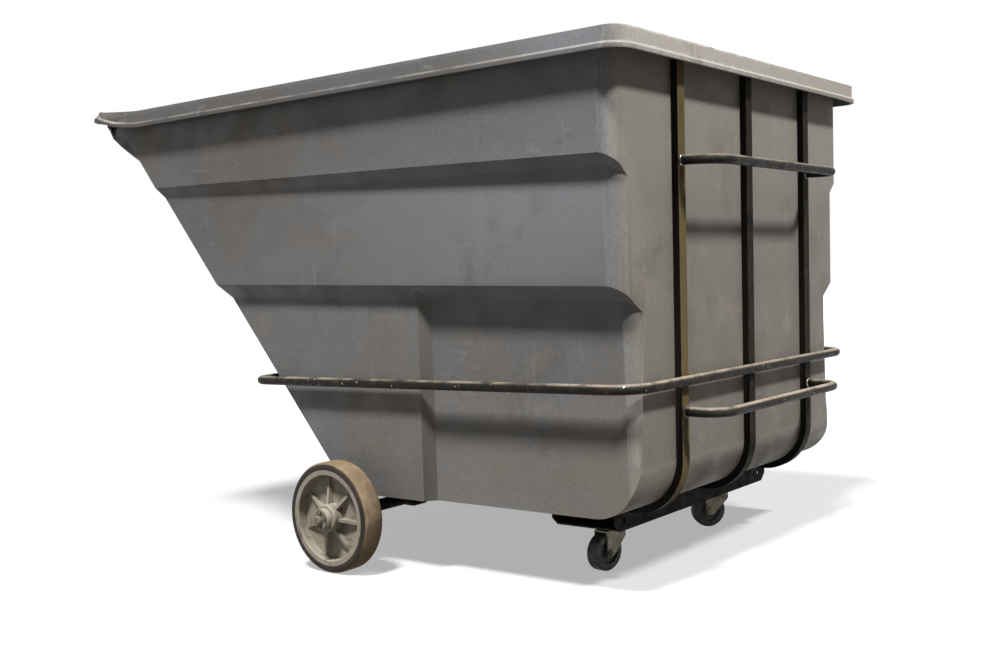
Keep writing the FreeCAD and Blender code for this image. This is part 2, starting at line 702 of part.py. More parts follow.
# A block under the strap that holds the axle.
def make_saddle(side, row):
    body = new_body(side + "_axle_saddle")
    cheek = "(Sizes.axle_bar / 2 + Sizes.saddle_cheek)"
    outline = new_sketch(body, side + "SaddleOutline", "XZ_Plane")
    add_outline(outline, [
        ("Sizes.saddle_length / 2", "Places.strap_low"),
        ("-Sizes.saddle_length / 2", "Places.strap_low"),
        ("-" + cheek, "Places.axle_z - " + cheek, "%s / 2" % cheek),
        (cheek, "Places.axle_z - " + cheek, "%s / 2" % cheek),
    ])
    add_circle(outline, "0", "Places.axle_z", "Sizes.axle_bar + 2 * Sizes.running_clearance")
    add_pad(body, outline, "Sizes.saddle_width", side="Symmetric")
    place(body, x="Places.axle_x", y="%d * Sizes.strap_spacing" % row)


def make_axle():
    body = new_body("axle")
    profile = new_sketch(body, "AxleProfile")
    radius = "Sizes.axle_bar / 2"
    end = "Places.axle_half"
    add_outline(profile, [
        ("0", "-" + end),
        ("%s - Sizes.axle_chamfer" % radius, "-" + end),
        (radius, "Sizes.axle_chamfer - %s" % end),
        (radius, "%s - Sizes.axle_chamfer" % end),
        ("%s - Sizes.axle_chamfer" % radius, end),
        ("0", end),
    ])
    add_turning(body, profile)
    holes = new_sketch(body, "AxleHoles")
    for way in ("", "-"):
        add_circle(holes, "0", way + "Places.cotter_y", "Sizes.cotter_wire + Sizes.hole_clearance")
    add_pocket(body, holes, "Sizes.axle_bar + Sizes.overrun")
    place(body, x="Places.axle_x", z="Places.axle_z")


# Plain rings on the axle, each from one distance off the middle plane to another. The XZ plane
# faces -Y, so the near side is the sketch's positive way.
def add_axle_ring(body, name, way, start, length, bore, size):
    sketch = new_sketch(body, name, "XZ_Plane", offset="%d * (%s)" % (way, start))
    add_circle(sketch, "0", "0", size)
    add_circle(sketch, "0", "0", bore)
    add_pad(body, sketch, length, reversed_way=way < 0)


def make_axle_fittings(side, way):
    bore = "Sizes.axle_bar + 2 * Sizes.running_clearance"
    spacer = new_body(side + "_wheel_spacer")
    spacer_length = "Places.washer_in_y - Places.spacer_y"
    add_axle_ring(spacer, side + "Spacer", way, "Places.spacer_y", spacer_length, bore,
                  "%s + 2 * Sizes.spacer_wall" % bore)
    place(spacer, x="Places.axle_x", z="Places.axle_z")

    washers = new_body(side + "_wheel_washers")
    for name, start in (("In", "Places.washer_in_y"), ("Out", "Places.washer_out_y")):
        add_axle_ring(washers, side + "Washer" + name, way, start, "Sizes.washer_thickness", bore,
                      "Sizes.washer_width")
    place(washers, x="Places.axle_x", z="Places.axle_z")

    # The cotter pin hangs through the axle from its eye, with its tail below.
    cotter = new_body(side + "_cotter_pin")
    pin = new_sketch(cotter, side + "CotterPin", offset="-Sizes.axle_bar / 2 - Sizes.cotter_tail")
    add_circle(pin, "0", "0", "Sizes.cotter_wire")
    add_pad(cotter, pin, "Sizes.axle_bar + Sizes.cotter_tail + Sizes.cotter_wire")
    eye = new_sketch(cotter, side + "CotterEye", "XZ_Plane")
    eye_z = "Sizes.axle_bar / 2 + Sizes.cotter_eye / 2 + Sizes.cotter_wire"
    add_circle(eye, "0", eye_z, "Sizes.cotter_eye + Sizes.cotter_wire")
    add_circle(eye, "0", eye_z, "Sizes.cotter_eye - Sizes.cotter_wire")
    eye_width = "Sizes.cotter_wire * Sizes.cotter_eye_width_share"
    add_pad(cotter, eye, eye_width, side="Symmetric")
    place(cotter, x="Places.axle_x", y="%d * Places.cotter_y" % -way, z="Places.axle_z")


# A moulded hub: ring, thin web and a boss with a narrower tip on the outside, with triangular
# gussets on both faces of the web. The outside is the hub's own -Y side.
def make_hub(label, turn_axis, turn, y):
    body = new_body(label)
    profile = new_sketch(body, label + "Profile")
    ring_half = "Sizes.tyre_width / 2"
    ring_inner = "Places.ring_seat - Sizes.hub_ring_depth"
    boss_half = "Sizes.hub_boss_length / 2"
    bore = "Places.bush_size / 2"
    tip_end = "-(%s + Sizes.hub_tip_length)" % boss_half
    web_half = "Sizes.hub_web / 2"
    add_outline(profile, [
        (bore, tip_end),
        ("Sizes.hub_tip / 2", tip_end, "Sizes.hub_ring_edge"),
        ("Sizes.hub_tip / 2", "-" + boss_half),
        ("Sizes.hub_boss / 2", "-" + boss_half, "Sizes.hub_ring_edge"),
        ("Sizes.hub_boss / 2", "-" + web_half),
        (ring_inner, "-" + web_half),
        (ring_inner, "-" + ring_half, "Sizes.hub_ring_edge"),
        ("Places.ring_seat", "-" + ring_half),
        ("Places.ring_seat", ring_half),
        (ring_inner, ring_half, "Sizes.hub_ring_edge"),
        (ring_inner, web_half),
        ("Sizes.hub_boss / 2", web_half),
        ("Sizes.hub_boss / 2", boss_half),
        (bore, boss_half),
    ])
    turning = add_turning(body, profile)
    ribs = new_sketch(body, label + "Ribs")
    root = "Sizes.hub_tip / 2"
    reach = "%s + Sizes.hub_ring_depth / 2" % ring_inner
    crest = "(%s - Sizes.rib_crest_drop)" % boss_half
    for way in ("", "-"):
        add_outline(ribs, [(root, "0"), (reach, "0"), (reach, way + web_half), (root, way + crest)])
    rib = add_pad(body, ribs, "Sizes.rib_thickness", side="Symmetric")
    pattern = body.newObject("PartDesign::PolarPattern", label + "RibPattern")
    pattern.Originals = [rib]
    pattern.Axis = (origin_feature(body, "Y_Axis"), [""])
    pattern.Angle = 360
    pattern.setExpression("Occurrences", "Sizes.rib_count")
    body.Tip = pattern
    doc.recompute()
    if not body.Shape.Volume > turning.Shape.Volume:
        raise ValueError(label + " has no ribs")
    place(body, x="Places.axle_x", y=y, z="Places.axle_z", turn_axis=turn_axis, turn=turn)


def make_wheel(side, way):
    y = "%d * Places.wheel_y" % -way
    if way > 0:
        make_hub(side + "_wheel_hub", FreeCAD.Vector(0, 1, 0), "Sizes.rib_phase", y)
    else:
        make_hub(side + "_wheel_hub", FreeCAD.Vector(0, 0, 1), "Sizes.half_turn", y)
    tyre = new_body(side + "_wheel_tyre")
    profile = new_sketch(tyre, side + "TyreProfile")
    half = "Sizes.tyre_width / 2"
    outer = "Sizes.wheel_size / 2"
    add_outline(profile, [
        ("Places.ring_seat", "-" + half),
        (outer, "-" + half, "Sizes.tyre_shoulder"),
        (outer, half, "Sizes.tyre_shoulder"),
        ("Places.ring_seat", half),
    ])
    add_turning(tyre, profile)
    place(tyre, x="Places.axle_x", y=y, z="Places.axle_z")

    bush = new_body(side + "_wheel_bush")
    add_axle_ring(bush, side + "BushSection", way, "Places.boss_in_y",
                  "Places.boss_out_y - Places.boss_in_y",
                  "Sizes.axle_bar + 2 * Sizes.running_clearance", "Places.bush_size")
    place(bush, x="Places.axle_x", z="Places.axle_z")


def caster_bolt_places():
    x = "(Sizes.caster_plate_length / 2 - Sizes.caster_hole_inset)"
    y = "(Sizes.caster_plate_width / 2 - Sizes.caster_hole_inset)"
    return [(x, y), ("-" + x, y), ("-" + x, "-" + y), (x, "-" + y)]


def make_caster_fixings(side, way):
    def settle(body):
        place(body, x="Places.caster_x", y="%d * Sizes.caster_spacing" % -way)

    plate = new_body(side + "_caster_plate")
    outline = new_sketch(plate, side + "PlateOutline", offset="Places.plate_low")
    half_x = "Sizes.caster_plate_length / 2"
    half_y = "Sizes.caster_plate_width / 2"
    corner = "Sizes.caster_plate_corner"
    add_outline(outline, [
        ("-" + half_x, "-" + half_y, corner),
        (half_x, "-" + half_y, corner),
        (half_x, half_y, corner),
        ("-" + half_x, half_y, corner),
    ])
    add_circle(outline, "0", "0", "Sizes.kingpin + 2 * Sizes.running_clearance")
    for x, y in caster_bolt_places():
        add_circle(outline, x, y, "Sizes.caster_bolt + Sizes.hole_clearance")
    add_pad(plate, outline, "Sizes.caster_plate_thickness")
    settle(plate)

    bolts = new_body(side + "_caster_bolts")
    seat = "Sizes.caster_height + Sizes.crossmember_wall"
    grip = "Sizes.crossmember_wall + Sizes.caster_plate_thickness + Sizes.caster_nut_depth"
    shanks = new_sketch(bolts, side + "CasterShanks", offset=seat)
    heads = new_sketch(bolts, side + "CasterHeads", offset=seat)
    for x, y in caster_bolt_places():
        add_circle(shanks, x, y, "Sizes.caster_bolt")
        add_circle(heads, x, y, "Sizes.caster_bolt_head")
    add_pad(bolts, shanks, "%s + Sizes.bolt_tail" % grip, reversed_way=True)
    add_pad(bolts, heads, "Sizes.caster_bolt_head_depth")
    settle(bolts)

    nuts = new_body(side + "_caster_nuts")
    hexes = new_sketch(nuts, side + "CasterHexes", offset="Places.plate_low")
    for x, y in caster_bolt_places():
        add_hexagon(hexes, x, y, "Sizes.caster_nut_width")
        add_circle(hexes, x, y, "Sizes.caster_bolt + 2 * Sizes.running_clearance")
    add_pad(nuts, hexes, "Sizes.caster_nut_depth", reversed_way=True)
    settle(nuts)

    # The kingpin is riveted flush in the plate and holds the fork up on its head.
    kingpin = new_body(side + "_caster_kingpin")
    profile = new_sketch(kingpin, side + "KingpinProfile", "XZ_Plane")
    head_top = "Places.crown_low - Sizes.swivel_clearance"
    add_outline(profile, [
        ("0", "Sizes.caster_height"),
        ("Sizes.kingpin / 2", "Sizes.caster_height"),
        ("Sizes.kingpin / 2", head_top),
        ("Sizes.kingpin_head / 2", head_top),
        ("Sizes.kingpin_head / 2", "%s - Sizes.kingpin_head_depth" % head_top),
        ("0", "%s - Sizes.kingpin_head_depth" % head_top),
    ])
    add_turning(kingpin, profile)
    settle(kingpin)


# Everything that turns about the kingpin is drawn with the wheel trailing along +X.
def make_caster_swivel(side, way):
    def settle(body):
        place(body, x="Places.caster_x", y="%d * Sizes.caster_spacing" % -way,
              turn_axis=FreeCAD.Vector(0, 0, 1), turn="Sizes.%s_caster_heading" % side)

    fork = new_body(side + "_caster_fork")
    cheeks = new_sketch(fork, side + "ForkCheeks", "XZ_Plane")
    boss = "Sizes.fork_boss / 2"
    boss_low = "Places.caster_axle_z - %s" % boss
    boss_out = "Sizes.caster_trail + %s" % boss
    round_end = "%s * Sizes.fork_round_share" % boss
    add_outline(cheeks, [
        ("-Sizes.fork_lead", "Places.crown_top"),
        ("-Sizes.fork_lead", "Places.crown_top - Sizes.fork_brow"),
        ("Sizes.caster_trail - %s" % boss, boss_low, round_end),
        (boss_out, boss_low, round_end),
        (boss_out, "Places.crown_top"),
    ])
    add_pad(fork, cheeks, "2 * Places.fork_half", side="Symmetric")
    slot = new_sketch(fork, side + "ForkSlot", "YZ_Plane")
    add_outline(slot, [
        ("-Places.fork_gap", "-Sizes.overrun"),
        ("Places.fork_gap", "-Sizes.overrun"),
        ("Places.fork_gap", "Places.crown_low"),
        ("-Places.fork_gap", "Places.crown_low"),
    ])
    add_pocket(fork, slot, "2 * (Sizes.fork_lead + Sizes.caster_trail + Sizes.fork_boss)")
    pin_hole = new_sketch(fork, side + "ForkPinHole", offset="Places.crown_top")
    add_circle(pin_hole, "0", "0", "Sizes.kingpin + 2 * Sizes.running_clearance")
    add_pocket(fork, pin_hole, "2 * Sizes.fork_crown + Sizes.overrun")
    axle_hole = new_sketch(fork, side + "ForkAxleHole", "XZ_Plane")
    add_circle(axle_hole, "Sizes.caster_trail", "Places.caster_axle_z",
               "Sizes.caster_axle + 2 * Sizes.running_clearance")
    add_pocket(fork, axle_hole, "2 * Places.fork_half + Sizes.overrun")
    settle(fork)

    race = new_body(side + "_caster_race")
    profile = new_sketch(race, side + "RaceProfile", "XZ_Plane")
    inner = "Sizes.kingpin / 2 + Sizes.swivel_clearance"
    outer = "Sizes.race_size / 2"
    top = "Places.plate_low - Sizes.swivel_clearance"
    waist = "Places.crown_top + Sizes.race_height / 2"
    add_outline(profile, [
        (inner, "Places.crown_top"),
        ("%s - Sizes.race_edge" % outer, "Places.crown_top"),
        (outer, waist, "Sizes.race_edge / 2"),
        ("%s - Sizes.race_edge" % outer, top),
        (inner, top),
    ])
    add_turning(race, profile)
    settle(race)

    bolt = new_body(side + "_caster_axle_bolt")
    shank = new_sketch(bolt, side + "AxleBoltShank", "XZ_Plane", offset="Places.fork_half")
    axle_at = ("Sizes.caster_trail", "Places.caster_axle_z")
    add_circle(shank, *axle_at, "Sizes.caster_axle")
    shank_length = "2 * Places.fork_half + Sizes.caster_nut_depth + Sizes.bolt_tail"
    add_pad(bolt, shank, shank_length, reversed_way=True)
    head = new_sketch(bolt, side + "AxleBoltHead", "XZ_Plane", offset="Places.fork_half")
    add_hexagon(head, *axle_at, "Sizes.caster_axle_head")
    add_pad(bolt, head, "Sizes.caster_axle_head_depth")
    settle(bolt)

    nut = new_body(side + "_caster_axle_nut")
    hexagon = new_sketch(nut, side + "AxleNutHex", "XZ_Plane", offset="-Places.fork_half")
    add_hexagon(hexagon, *axle_at, "Sizes.caster_axle_head")
    add_circle(hexagon, *axle_at, "Sizes.caster_axle + 2 * Sizes.running_clearance")
    add_pad(nut, hexagon, "Sizes.caster_nut_depth", reversed_way=True)
    settle(nut)

    sleeve = new_body(side + "_caster_sleeve")
    tube = new_sketch(sleeve, side + "SleeveSection", "XZ_Plane")
    add_circle(tube, *axle_at, "Places.sleeve_size")
    add_circle(tube, *axle_at, "Sizes.caster_axle + 2 * Sizes.running_clearance")
    add_pad(sleeve, tube, "2 * Places.fork_gap", side="Symmetric")
    settle(sleeve)


def make_caster_wheel(side, way):
    heading = "Sizes.%s_caster_heading" % side

    def settle(body):
        x = "Places.caster_x + Sizes.caster_trail * cos(%s)" % heading
        y = "%d * Sizes.caster_spacing + Sizes.caster_trail * sin(%s)" % (-way, heading)
        place(body, x=x, y=y, z="Places.caster_axle_z",
              turn_axis=FreeCAD.Vector(0, 0, 1), turn=heading)

    half = "Sizes.caster_wheel_width / 2"
    seat = "Sizes.caster_wheel_size / 2 - Sizes.caster_tread_depth"
    core = new_body(side + "_caster_wheel")
    profile = new_sketch(core, side + "CoreProfile")
    bore = "Places.sleeve_size / 2 + Sizes.running_clearance"
    boss = "Sizes.caster_core_boss / 2"
    web = "(%s - Sizes.caster_core_recess)" % half
    ring = "%s - Sizes.caster_core_ring" % seat
    add_outline(profile, [
        (bore, half),
        (bore, "-" + half),
        (boss, "-" + half),
        (boss, "-" + web),
        (ring, "-" + web),
        (ring, "-" + half),
        (seat, "-" + half),
        (seat, half),
        (ring, half),
        (ring, web),
        (boss, web),
        (boss, half),
    ])
    add_turning(core, profile)
    settle(core)

    tread = new_body(side + "_caster_tread")
    band = new_sketch(tread, side + "TreadProfile")
    outer = "Sizes.caster_wheel_size / 2"
    add_outline(band, [
        (seat, "-" + half),
        (outer, "-" + half, "Sizes.caster_tread_edge"),
        (outer, half, "Sizes.caster_tread_edge"),
        (seat, half),
    ])
    add_turning(tread, band)
    settle(tread)


# Wide-headed bolts through the tub's floor into captive nuts inside the hollow straps. The holes in the
# plastic are wider than the bolts, so that it can move with heat.
def make_floor_fixings():
    bolts = new_body("floor_bolts")
    seat = "Sizes.floor_height + Sizes.tub_wall"
    shanks = new_sketch(bolts, "FloorShanks", offset=seat)
    heads = new_sketch(bolts, "FloorHeads", offset=seat)
    nuts = new_body("floor_nuts")
    hexes = new_sketch(nuts, "FloorHexes", offset="Sizes.floor_height - Sizes.strap_wall")
    for x, y in floor_bolt_places():
        add_circle(shanks, x, y, "Sizes.floor_bolt")
        add_circle(heads, x, y, "Sizes.floor_bolt_head")
        add_hexagon(hexes, x, y, "Sizes.floor_nut_width")
        add_circle(hexes, x, y, "Sizes.floor_bolt + 2 * Sizes.running_clearance")
    grip = "Sizes.tub_wall + Sizes.strap_wall + Sizes.floor_nut_depth + Sizes.bolt_tail"
    add_pad(bolts, shanks, grip, reversed_way=True)
    add_pad(bolts, heads, "Sizes.floor_bolt_head_depth")
    add_pad(nuts, hexes, "Sizes.floor_nut_depth", reversed_way=True)


make_tub()
for strap_side, strap_row in (("near", -1), ("centre", 0), ("far", 1)):
    make_strap(strap_side, strap_row)
    make_saddle(strap_side, strap_row)
make_ring()
make_handle("push_handle", "Sizes.push_handle_height")
make_handle("lower_handle", "Sizes.lower_handle_height")
make_crossmember()
make_floor_fixings()
make_axle()
for wheel_side, outward in (("near", 1), ("far", -1)):
    make_axle_fittings(wheel_side, outward)
    make_wheel(wheel_side, outward)
    make_caster_fixings(wheel_side, outward)
    make_caster_swivel(wheel_side, outward)
    make_caster_wheel(wheel_side, outward)
doc.recompute()

for item in doc.Objects:
    if "Invalid" in item.State or "Error" in item.State:
        raise ValueError("%s is in error" % item.Name)
for node in nodes:
    if node.Shape.isNull() or not node.Shape.isValid() or not node.Shape.Solids:
        raise ValueError("%s has no valid solid" % node.Label)

os.makedirs("parts", exist_ok=True)
for node in nodes:
    node.Shape.exportStep("parts/%s.step" % node.Label)
    print("%-24s %2d solids %10.1f cm3" % (node.Label, len(node.Shape.Solids), node.Shape.Volume / 1000))
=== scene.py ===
import math
import bpy
from mathutils import Matrix, Vector


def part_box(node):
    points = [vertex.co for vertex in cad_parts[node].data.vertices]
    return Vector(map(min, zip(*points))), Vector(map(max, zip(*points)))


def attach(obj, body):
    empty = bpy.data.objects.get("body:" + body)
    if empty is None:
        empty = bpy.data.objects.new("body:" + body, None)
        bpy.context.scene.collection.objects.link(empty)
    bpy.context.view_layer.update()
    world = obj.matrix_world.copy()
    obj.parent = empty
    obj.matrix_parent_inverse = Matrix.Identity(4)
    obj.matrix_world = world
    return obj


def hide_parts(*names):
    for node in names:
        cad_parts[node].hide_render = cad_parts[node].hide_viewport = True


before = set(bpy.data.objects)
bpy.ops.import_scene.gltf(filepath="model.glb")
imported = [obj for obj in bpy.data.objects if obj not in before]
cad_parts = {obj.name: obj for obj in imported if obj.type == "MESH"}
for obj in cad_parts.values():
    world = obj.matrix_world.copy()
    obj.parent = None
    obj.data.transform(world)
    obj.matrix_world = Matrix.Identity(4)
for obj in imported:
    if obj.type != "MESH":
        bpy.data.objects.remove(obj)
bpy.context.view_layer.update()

print("frame loaded:", len(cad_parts), "CAD nodes")


def deselectAll():
    if bpy.context.object and bpy.context.object.mode != "OBJECT":
        bpy.ops.object.mode_set(mode="OBJECT")
    bpy.ops.object.select_all(action="DESELECT")


def pickOnly(piece):
    deselectAll()
    piece.select_set(True)
    bpy.context.view_layer.objects.active = piece


def openEdit(piece):  # opens edit mode with all of the piece selected
    pickOnly(piece)
    bpy.ops.object.mode_set(mode="EDIT")
    bpy.ops.mesh.select_mode(type="VERT")
    bpy.ops.mesh.select_all(action="SELECT")


def closeEdit():
    bpy.ops.object.mode_set(mode="OBJECT")


def pickVerts(piece, wanted):  # leaves edit mode open on the vertices that fit
    bpy.ops.object.mode_set(mode="EDIT")
    bpy.ops.mesh.select_mode(type="VERT")
    bpy.ops.mesh.select_all(action="DESELECT")
    bpy.ops.object.mode_set(mode="OBJECT")
    for v in piece.data.vertices:
        if wanted(v):
            v.select = True
    bpy.ops.object.mode_set(mode="EDIT")


def nudge(piece, wanted, move):
    pickVerts(piece, wanted)
    bpy.ops.transform.translate(value=move)
    closeEdit()


def bakeIn(piece, name, kind, **values):  # adds a modifier and applies it
    pickOnly(piece)
    mod = piece.modifiers.new(name, kind)
    for key, value in values.items():
        setattr(mod, key, value)
    bpy.ops.object.modifier_apply(modifier=name)


def copyOfNode(node, name):
    piece = bpy.data.objects.new(name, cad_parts[node].data.copy())
    bpy.context.scene.collection.objects.link(piece)
    piece.data.materials.clear()
    return piece


# shader helpers
def addNode(tree, kind, **values):
    node = tree.nodes.new(kind)
    for key, value in values.items():
        setattr(node, key, value)
    return node


def feed(tree, socket, source):  # a link if it is a socket, a plain value otherwise
    if isinstance(source, bpy.types.NodeSocket):
        tree.links.new(source, socket)
    else:
        socket.default_value = source


def math2(tree, operation, a, b=0.0, clamp=False):
    node = addNode(tree, "ShaderNodeMath", operation=operation, use_clamp=clamp)
    feed(tree, node.inputs[0], a)
    feed(tree, node.inputs[1], b)
    return node.outputs[0]


def times(tree, product, *others):
    for other in others:
        product = math2(tree, "MULTIPLY", product, other)
    return product


def ramp(tree, value, low, high, toLow=0.0, toHigh=1.0):
    node = addNode(tree, "ShaderNodeMapRange", interpolation_type="SMOOTHSTEP")
    for socket, source in zip(node.inputs, (value, low, high, toLow, toHigh)):
        feed(tree, socket, source)
    return node.outputs[0]


def split(tree, vector):
    node = addNode(tree, "ShaderNodeSeparateXYZ")
    feed(tree, node.inputs[0], vector)
    return node.outputs


def facingOf(tree):  # x, y and z of the way a surface faces
    return split(tree, addNode(tree, "ShaderNodeNewGeometry").outputs["Normal"])


def blendColor(tree, mask, a, b, mode="MIX"):
    node = addNode(tree, "ShaderNodeMix", data_type="RGBA", blend_type=mode)
    feed(tree, node.inputs[0], mask)
    feed(tree, node.inputs[6], a if isinstance(a, bpy.types.NodeSocket) else (*a, 1.0))
    feed(tree, node.inputs[7], b if isinstance(b, bpy.types.NodeSocket) else (*b, 1.0))
    return node.outputs[2]


def toned(tree, color, mask, by):  # lighter or darker by a factor where the mask says so
    return blendColor(tree, mask, color, blendColor(tree, 1.0, color, (by, by, by), "MULTIPLY"))


def newGroup(name, inputs, output):
    tree = bpy.data.node_groups.new(name, "ShaderNodeTree")
    for title, kind, value in inputs:
        socket = tree.interface.new_socket(name=title, in_out="INPUT", socket_type=kind)
        if value is not None:
            socket.default_value = value
    tree.interface.new_socket(name=output, in_out="OUTPUT", socket_type="NodeSocketFloat")
    return tree, addNode(tree, "NodeGroupInput").outputs, addNode(tree, "NodeGroupOutput").inputs[0]


def useGroup(tree, group, **values):
    node = addNode(tree, "ShaderNodeGroup", node_tree=group)
    for key, value in values.items():
        feed(tree, node.inputs[key], value)
    return node.outputs[0]


def noise(tree, vector, scale, detail=3.0, rough=0.55, twist=0.0):
    node = addNode(tree, "ShaderNodeTexNoise")
    feed(tree, node.inputs["Vector"], vector)
    feed(tree, node.inputs["Scale"], scale)
    feed(tree, node.inputs["Detail"], detail)
    feed(tree, node.inputs["Roughness"], rough)
    feed(tree, node.inputs["Distortion"], twist)
    return node.outputs[0]


vec, num = "NodeSocketVector", "NodeSocketFloat"
noiseSpan = (0.3, 0.7)  # most of a noise lies between these

# soft blotches: stains, dust patches, worn places
patches, given, mask = newGroup(
    "patches", [("Vector", vec, None), ("Scale", num, 4.0), ("Detail", num, 4.0),
                ("Low", num, 0.45), ("High", num, 0.6)], "Mask")
field = noise(patches, given["Vector"], given["Scale"], given["Detail"], rough=0.6, twist=0.35)
feed(patches, mask, ramp(patches, field, given["Low"], given["High"]))

# fine drawn-out scuffs, pulled along by Stretch
scuffs, given, mask = newGroup(
    "scuffs", [("Vector", vec, None), ("Stretch", vec, (1, 1, 1)), ("Scale", num, 60.0),
               ("Low", num, 0.6), ("High", num, 0.7)], "Mask")
pull = addNode(scuffs, "ShaderNodeVectorMath", operation="MULTIPLY")
feed(scuffs, pull.inputs[0], given["Vector"])
feed(scuffs, pull.inputs[1], given["Stretch"])
drawn = noise(scuffs, pull.outputs[0], given["Scale"], detail=2.0, rough=0.5, twist=0.2)
lines = ramp(scuffs, drawn, given["Low"], given["High"])
broken = ramp(scuffs, noise(scuffs, given["Vector"], scale=5.0), low=0.42, high=0.62)
feed(scuffs, mask, times(scuffs, lines, broken))

# dust that lies on what faces up
fallenDust, given, mask = newGroup(
    "fallenDust", [("Vector", vec, None), ("Scale", num, 9.0), ("Steep", num, 0.35)], "Mask")
lying = ramp(fallenDust, facingOf(fallenDust)[2], given["Steep"], high=0.95)
cloud = noise(fallenDust, given["Vector"], given["Scale"], detail=5.0, rough=0.65)
feed(fallenDust, mask, times(fallenDust, lying, ramp(fallenDust, cloud, *noiseSpan)))

# rubbed edges, found where a rounded normal turns from the flat one
edgeRub, given, mask = newGroup(
    "edgeRub", [("Vector", vec, None), ("Radius", num, 0.003), ("Scale", num, 30.0)], "Mask")
bevel = addNode(edgeRub, "ShaderNodeBevel", samples=4)
feed(edgeRub, bevel.inputs["Radius"], given["Radius"])
flat = addNode(edgeRub, "ShaderNodeNewGeometry")
turned = addNode(edgeRub, "ShaderNodeVectorMath", operation="DOT_PRODUCT")
feed(edgeRub, turned.inputs[0], bevel.outputs[0])
feed(edgeRub, turned.inputs[1], flat.outputs["Normal"])
rubbed = ramp(edgeRub, turned.outputs["Value"], low=0.985, high=0.88)
uneven = noise(edgeRub, given["Vector"], given["Scale"], detail=4.0, rough=0.65)
feed(edgeRub, mask, times(edgeRub, rubbed, ramp(edgeRub, uneven, low=0.38, high=0.6)))

# height of a fine moulded or cast skin, whose fine grain is a small share of the slow waves
skinGrain, given, height = newGroup(
    "skinGrain", [("Vector", vec, None), ("Scale", num, 300.0), ("Coarse", num, 8.0)], "Height")
fineShare = 0.15
fine = noise(skinGrain, given["Vector"], given["Scale"], rough=0.6)
slow = noise(skinGrain, given["Vector"], given["Coarse"], rough=0.5)
feed(skinGrain, height, math2(skinGrain, "ADD", times(skinGrain, fine, fineShare), slow))

print("shader groups ready")


def startMaterial(name):
    mat = bpy.data.materials.new(name)
    mat.use_nodes = True
    tree = mat.node_tree
    where = addNode(tree, "ShaderNodeTexCoord").outputs["Object"]
    return mat, tree, where, tree.nodes["Principled BSDF"]


def patchy(tree, where, color, other, **values):  # another colour in soft blotches
    return blendColor(tree, useGroup(tree, patches, Vector=where, **values), color, other)


def edged(tree, where, color, other, radius, share):  # another colour on rubbed edges
    edges = useGroup(tree, edgeRub, Vector=where, Radius=radius)
    return blendColor(tree, times(tree, edges, share), color, other)


def unevenRough(tree, shader, where, scale, least, most, detail=4.0):
    field = noise(tree, where, scale, detail)
    feed(tree, shader.inputs["Roughness"], ramp(tree, field, *noiseSpan, least, most))


def skinBump(tree, shader, where, fine, coarse, strength, depth, raised=0.0):
    grain = useGroup(tree, skinGrain, Vector=where, Scale=fine, Coarse=coarse)
    bump = addNode(tree, "ShaderNodeBump")
    feed(tree, bump.inputs["Height"], math2(tree, "ADD", grain, raised))
    bump.inputs["Strength"].default_value = strength
    bump.inputs["Distance"].default_value = depth
    tree.links.new(bump.outputs[0], shader.inputs["Normal"])


# grey moulded plastic of the tub: bluer above and at the rear, browner low down, at the nose and on the end
# pairs are the places, or the parts of a facing, over which a tone comes in
tubLook = {
    "cool": (0.186, 0.190, 0.199),
    "warm": (0.186, 0.165, 0.138),
    "warmDown": (1.05, 0.35),
    "warmDownShare": 0.18,
    "toNose": (0.45, -0.85),
    "toNoseShare": 0.28,
    "warmShare": 0.75,
    "endWall": (0.196, 0.178, 0.150),
    "endFacing": (0.45, 0.9),
    "endShare": 0.85,
    "noseUp": (0.45, 0.95),
    "noseDim": 0.84,
    "roundToEnd": (0.15, 0.6),
    "lowDown": (0.60, 0.45),
    "lowLift": 1.16,
    "tierFoot": (0.76, 0.82),
    "tierTop": (1.09, 1.05),
    "tierAlong": (-0.5, 0.7),
    "tierLift": 1.2,
    "endUp": (0.95, 1.12),
    "endLift": 1.22,
    "endDown": (0.95, 0.75),
    "endDim": 0.88,
    "lipBlur": 0.002,
    "rimAlong": (0.95, 0.35),
    "rimPaintedShade": 0.66,
    "beadUnder": (0.046, 0.040),
    "beadFacing": (0.05, 0.35),
    "beadPaintedShade": 0.32,
    "cheekPast": (0.002, 0.016),
    "cheekFacing": (-0.1, -0.3),
    "cheekBlur": 0.004,
    "cheekPaintedShade": 0.35,
    "stain": (0.112, 0.100, 0.086),
    "stainShare": 0.6,
    "wipe": (0.285, 0.240, 0.175),
    "wipeDown": (0.95, 0.55),
    "wipeShare": 0.42,
    "scuff": (0.30, 0.295, 0.285),
    "scuffShare": 0.3,
    "dust": (0.25, 0.215, 0.165),
    "dustShare": 0.7,
    "rubbed": (0.33, 0.32, 0.30),
    "rubRadius": 0.006,
    "rubShare": 0.35,
    "rimRubLess": 0.30,
    "endRimFacing": (0.75, 0.95),
    "endRimBlur": 0.004,
    "endRimAcross": (0.45, -0.25),
    "endRimPaintedLight": 1.12,
    "endWorn": (0.62, 0.60, 0.57),
    "endWornRadius": 0.012,
    "endWornShare": 0.8,
    "sideTurnHighlight": ((0.04, 0.12), (0.32, 0.2)),
    "endTurn": ((0.80, 0.90), (0.99, 0.965)),
    "endTurnHighlightShare": 0.4,
    "turnUp": (0.70, 0.80),
    "cornerHighlightShare": 0.45,
    "mottle": (0.5, 1.5),
    "mottleShare": 0.22,
    "shine": 0.18,
}
noseCrease = {"x": -0.8856, "z": 1.188, "lean": 0.849}  # where the side wall turns into the nose's cheek
rimLine = {"lip": 1.302, "top": 1.355, "lean": 0.017455}  # heights half-way along, and how they climb
tubPlastic, tree, where, shader = startMaterial("tubPlastic")
along, across, up = split(tree, where)
facing = facingOf(tree)
toRear, toSky = facing[0], facing[2]

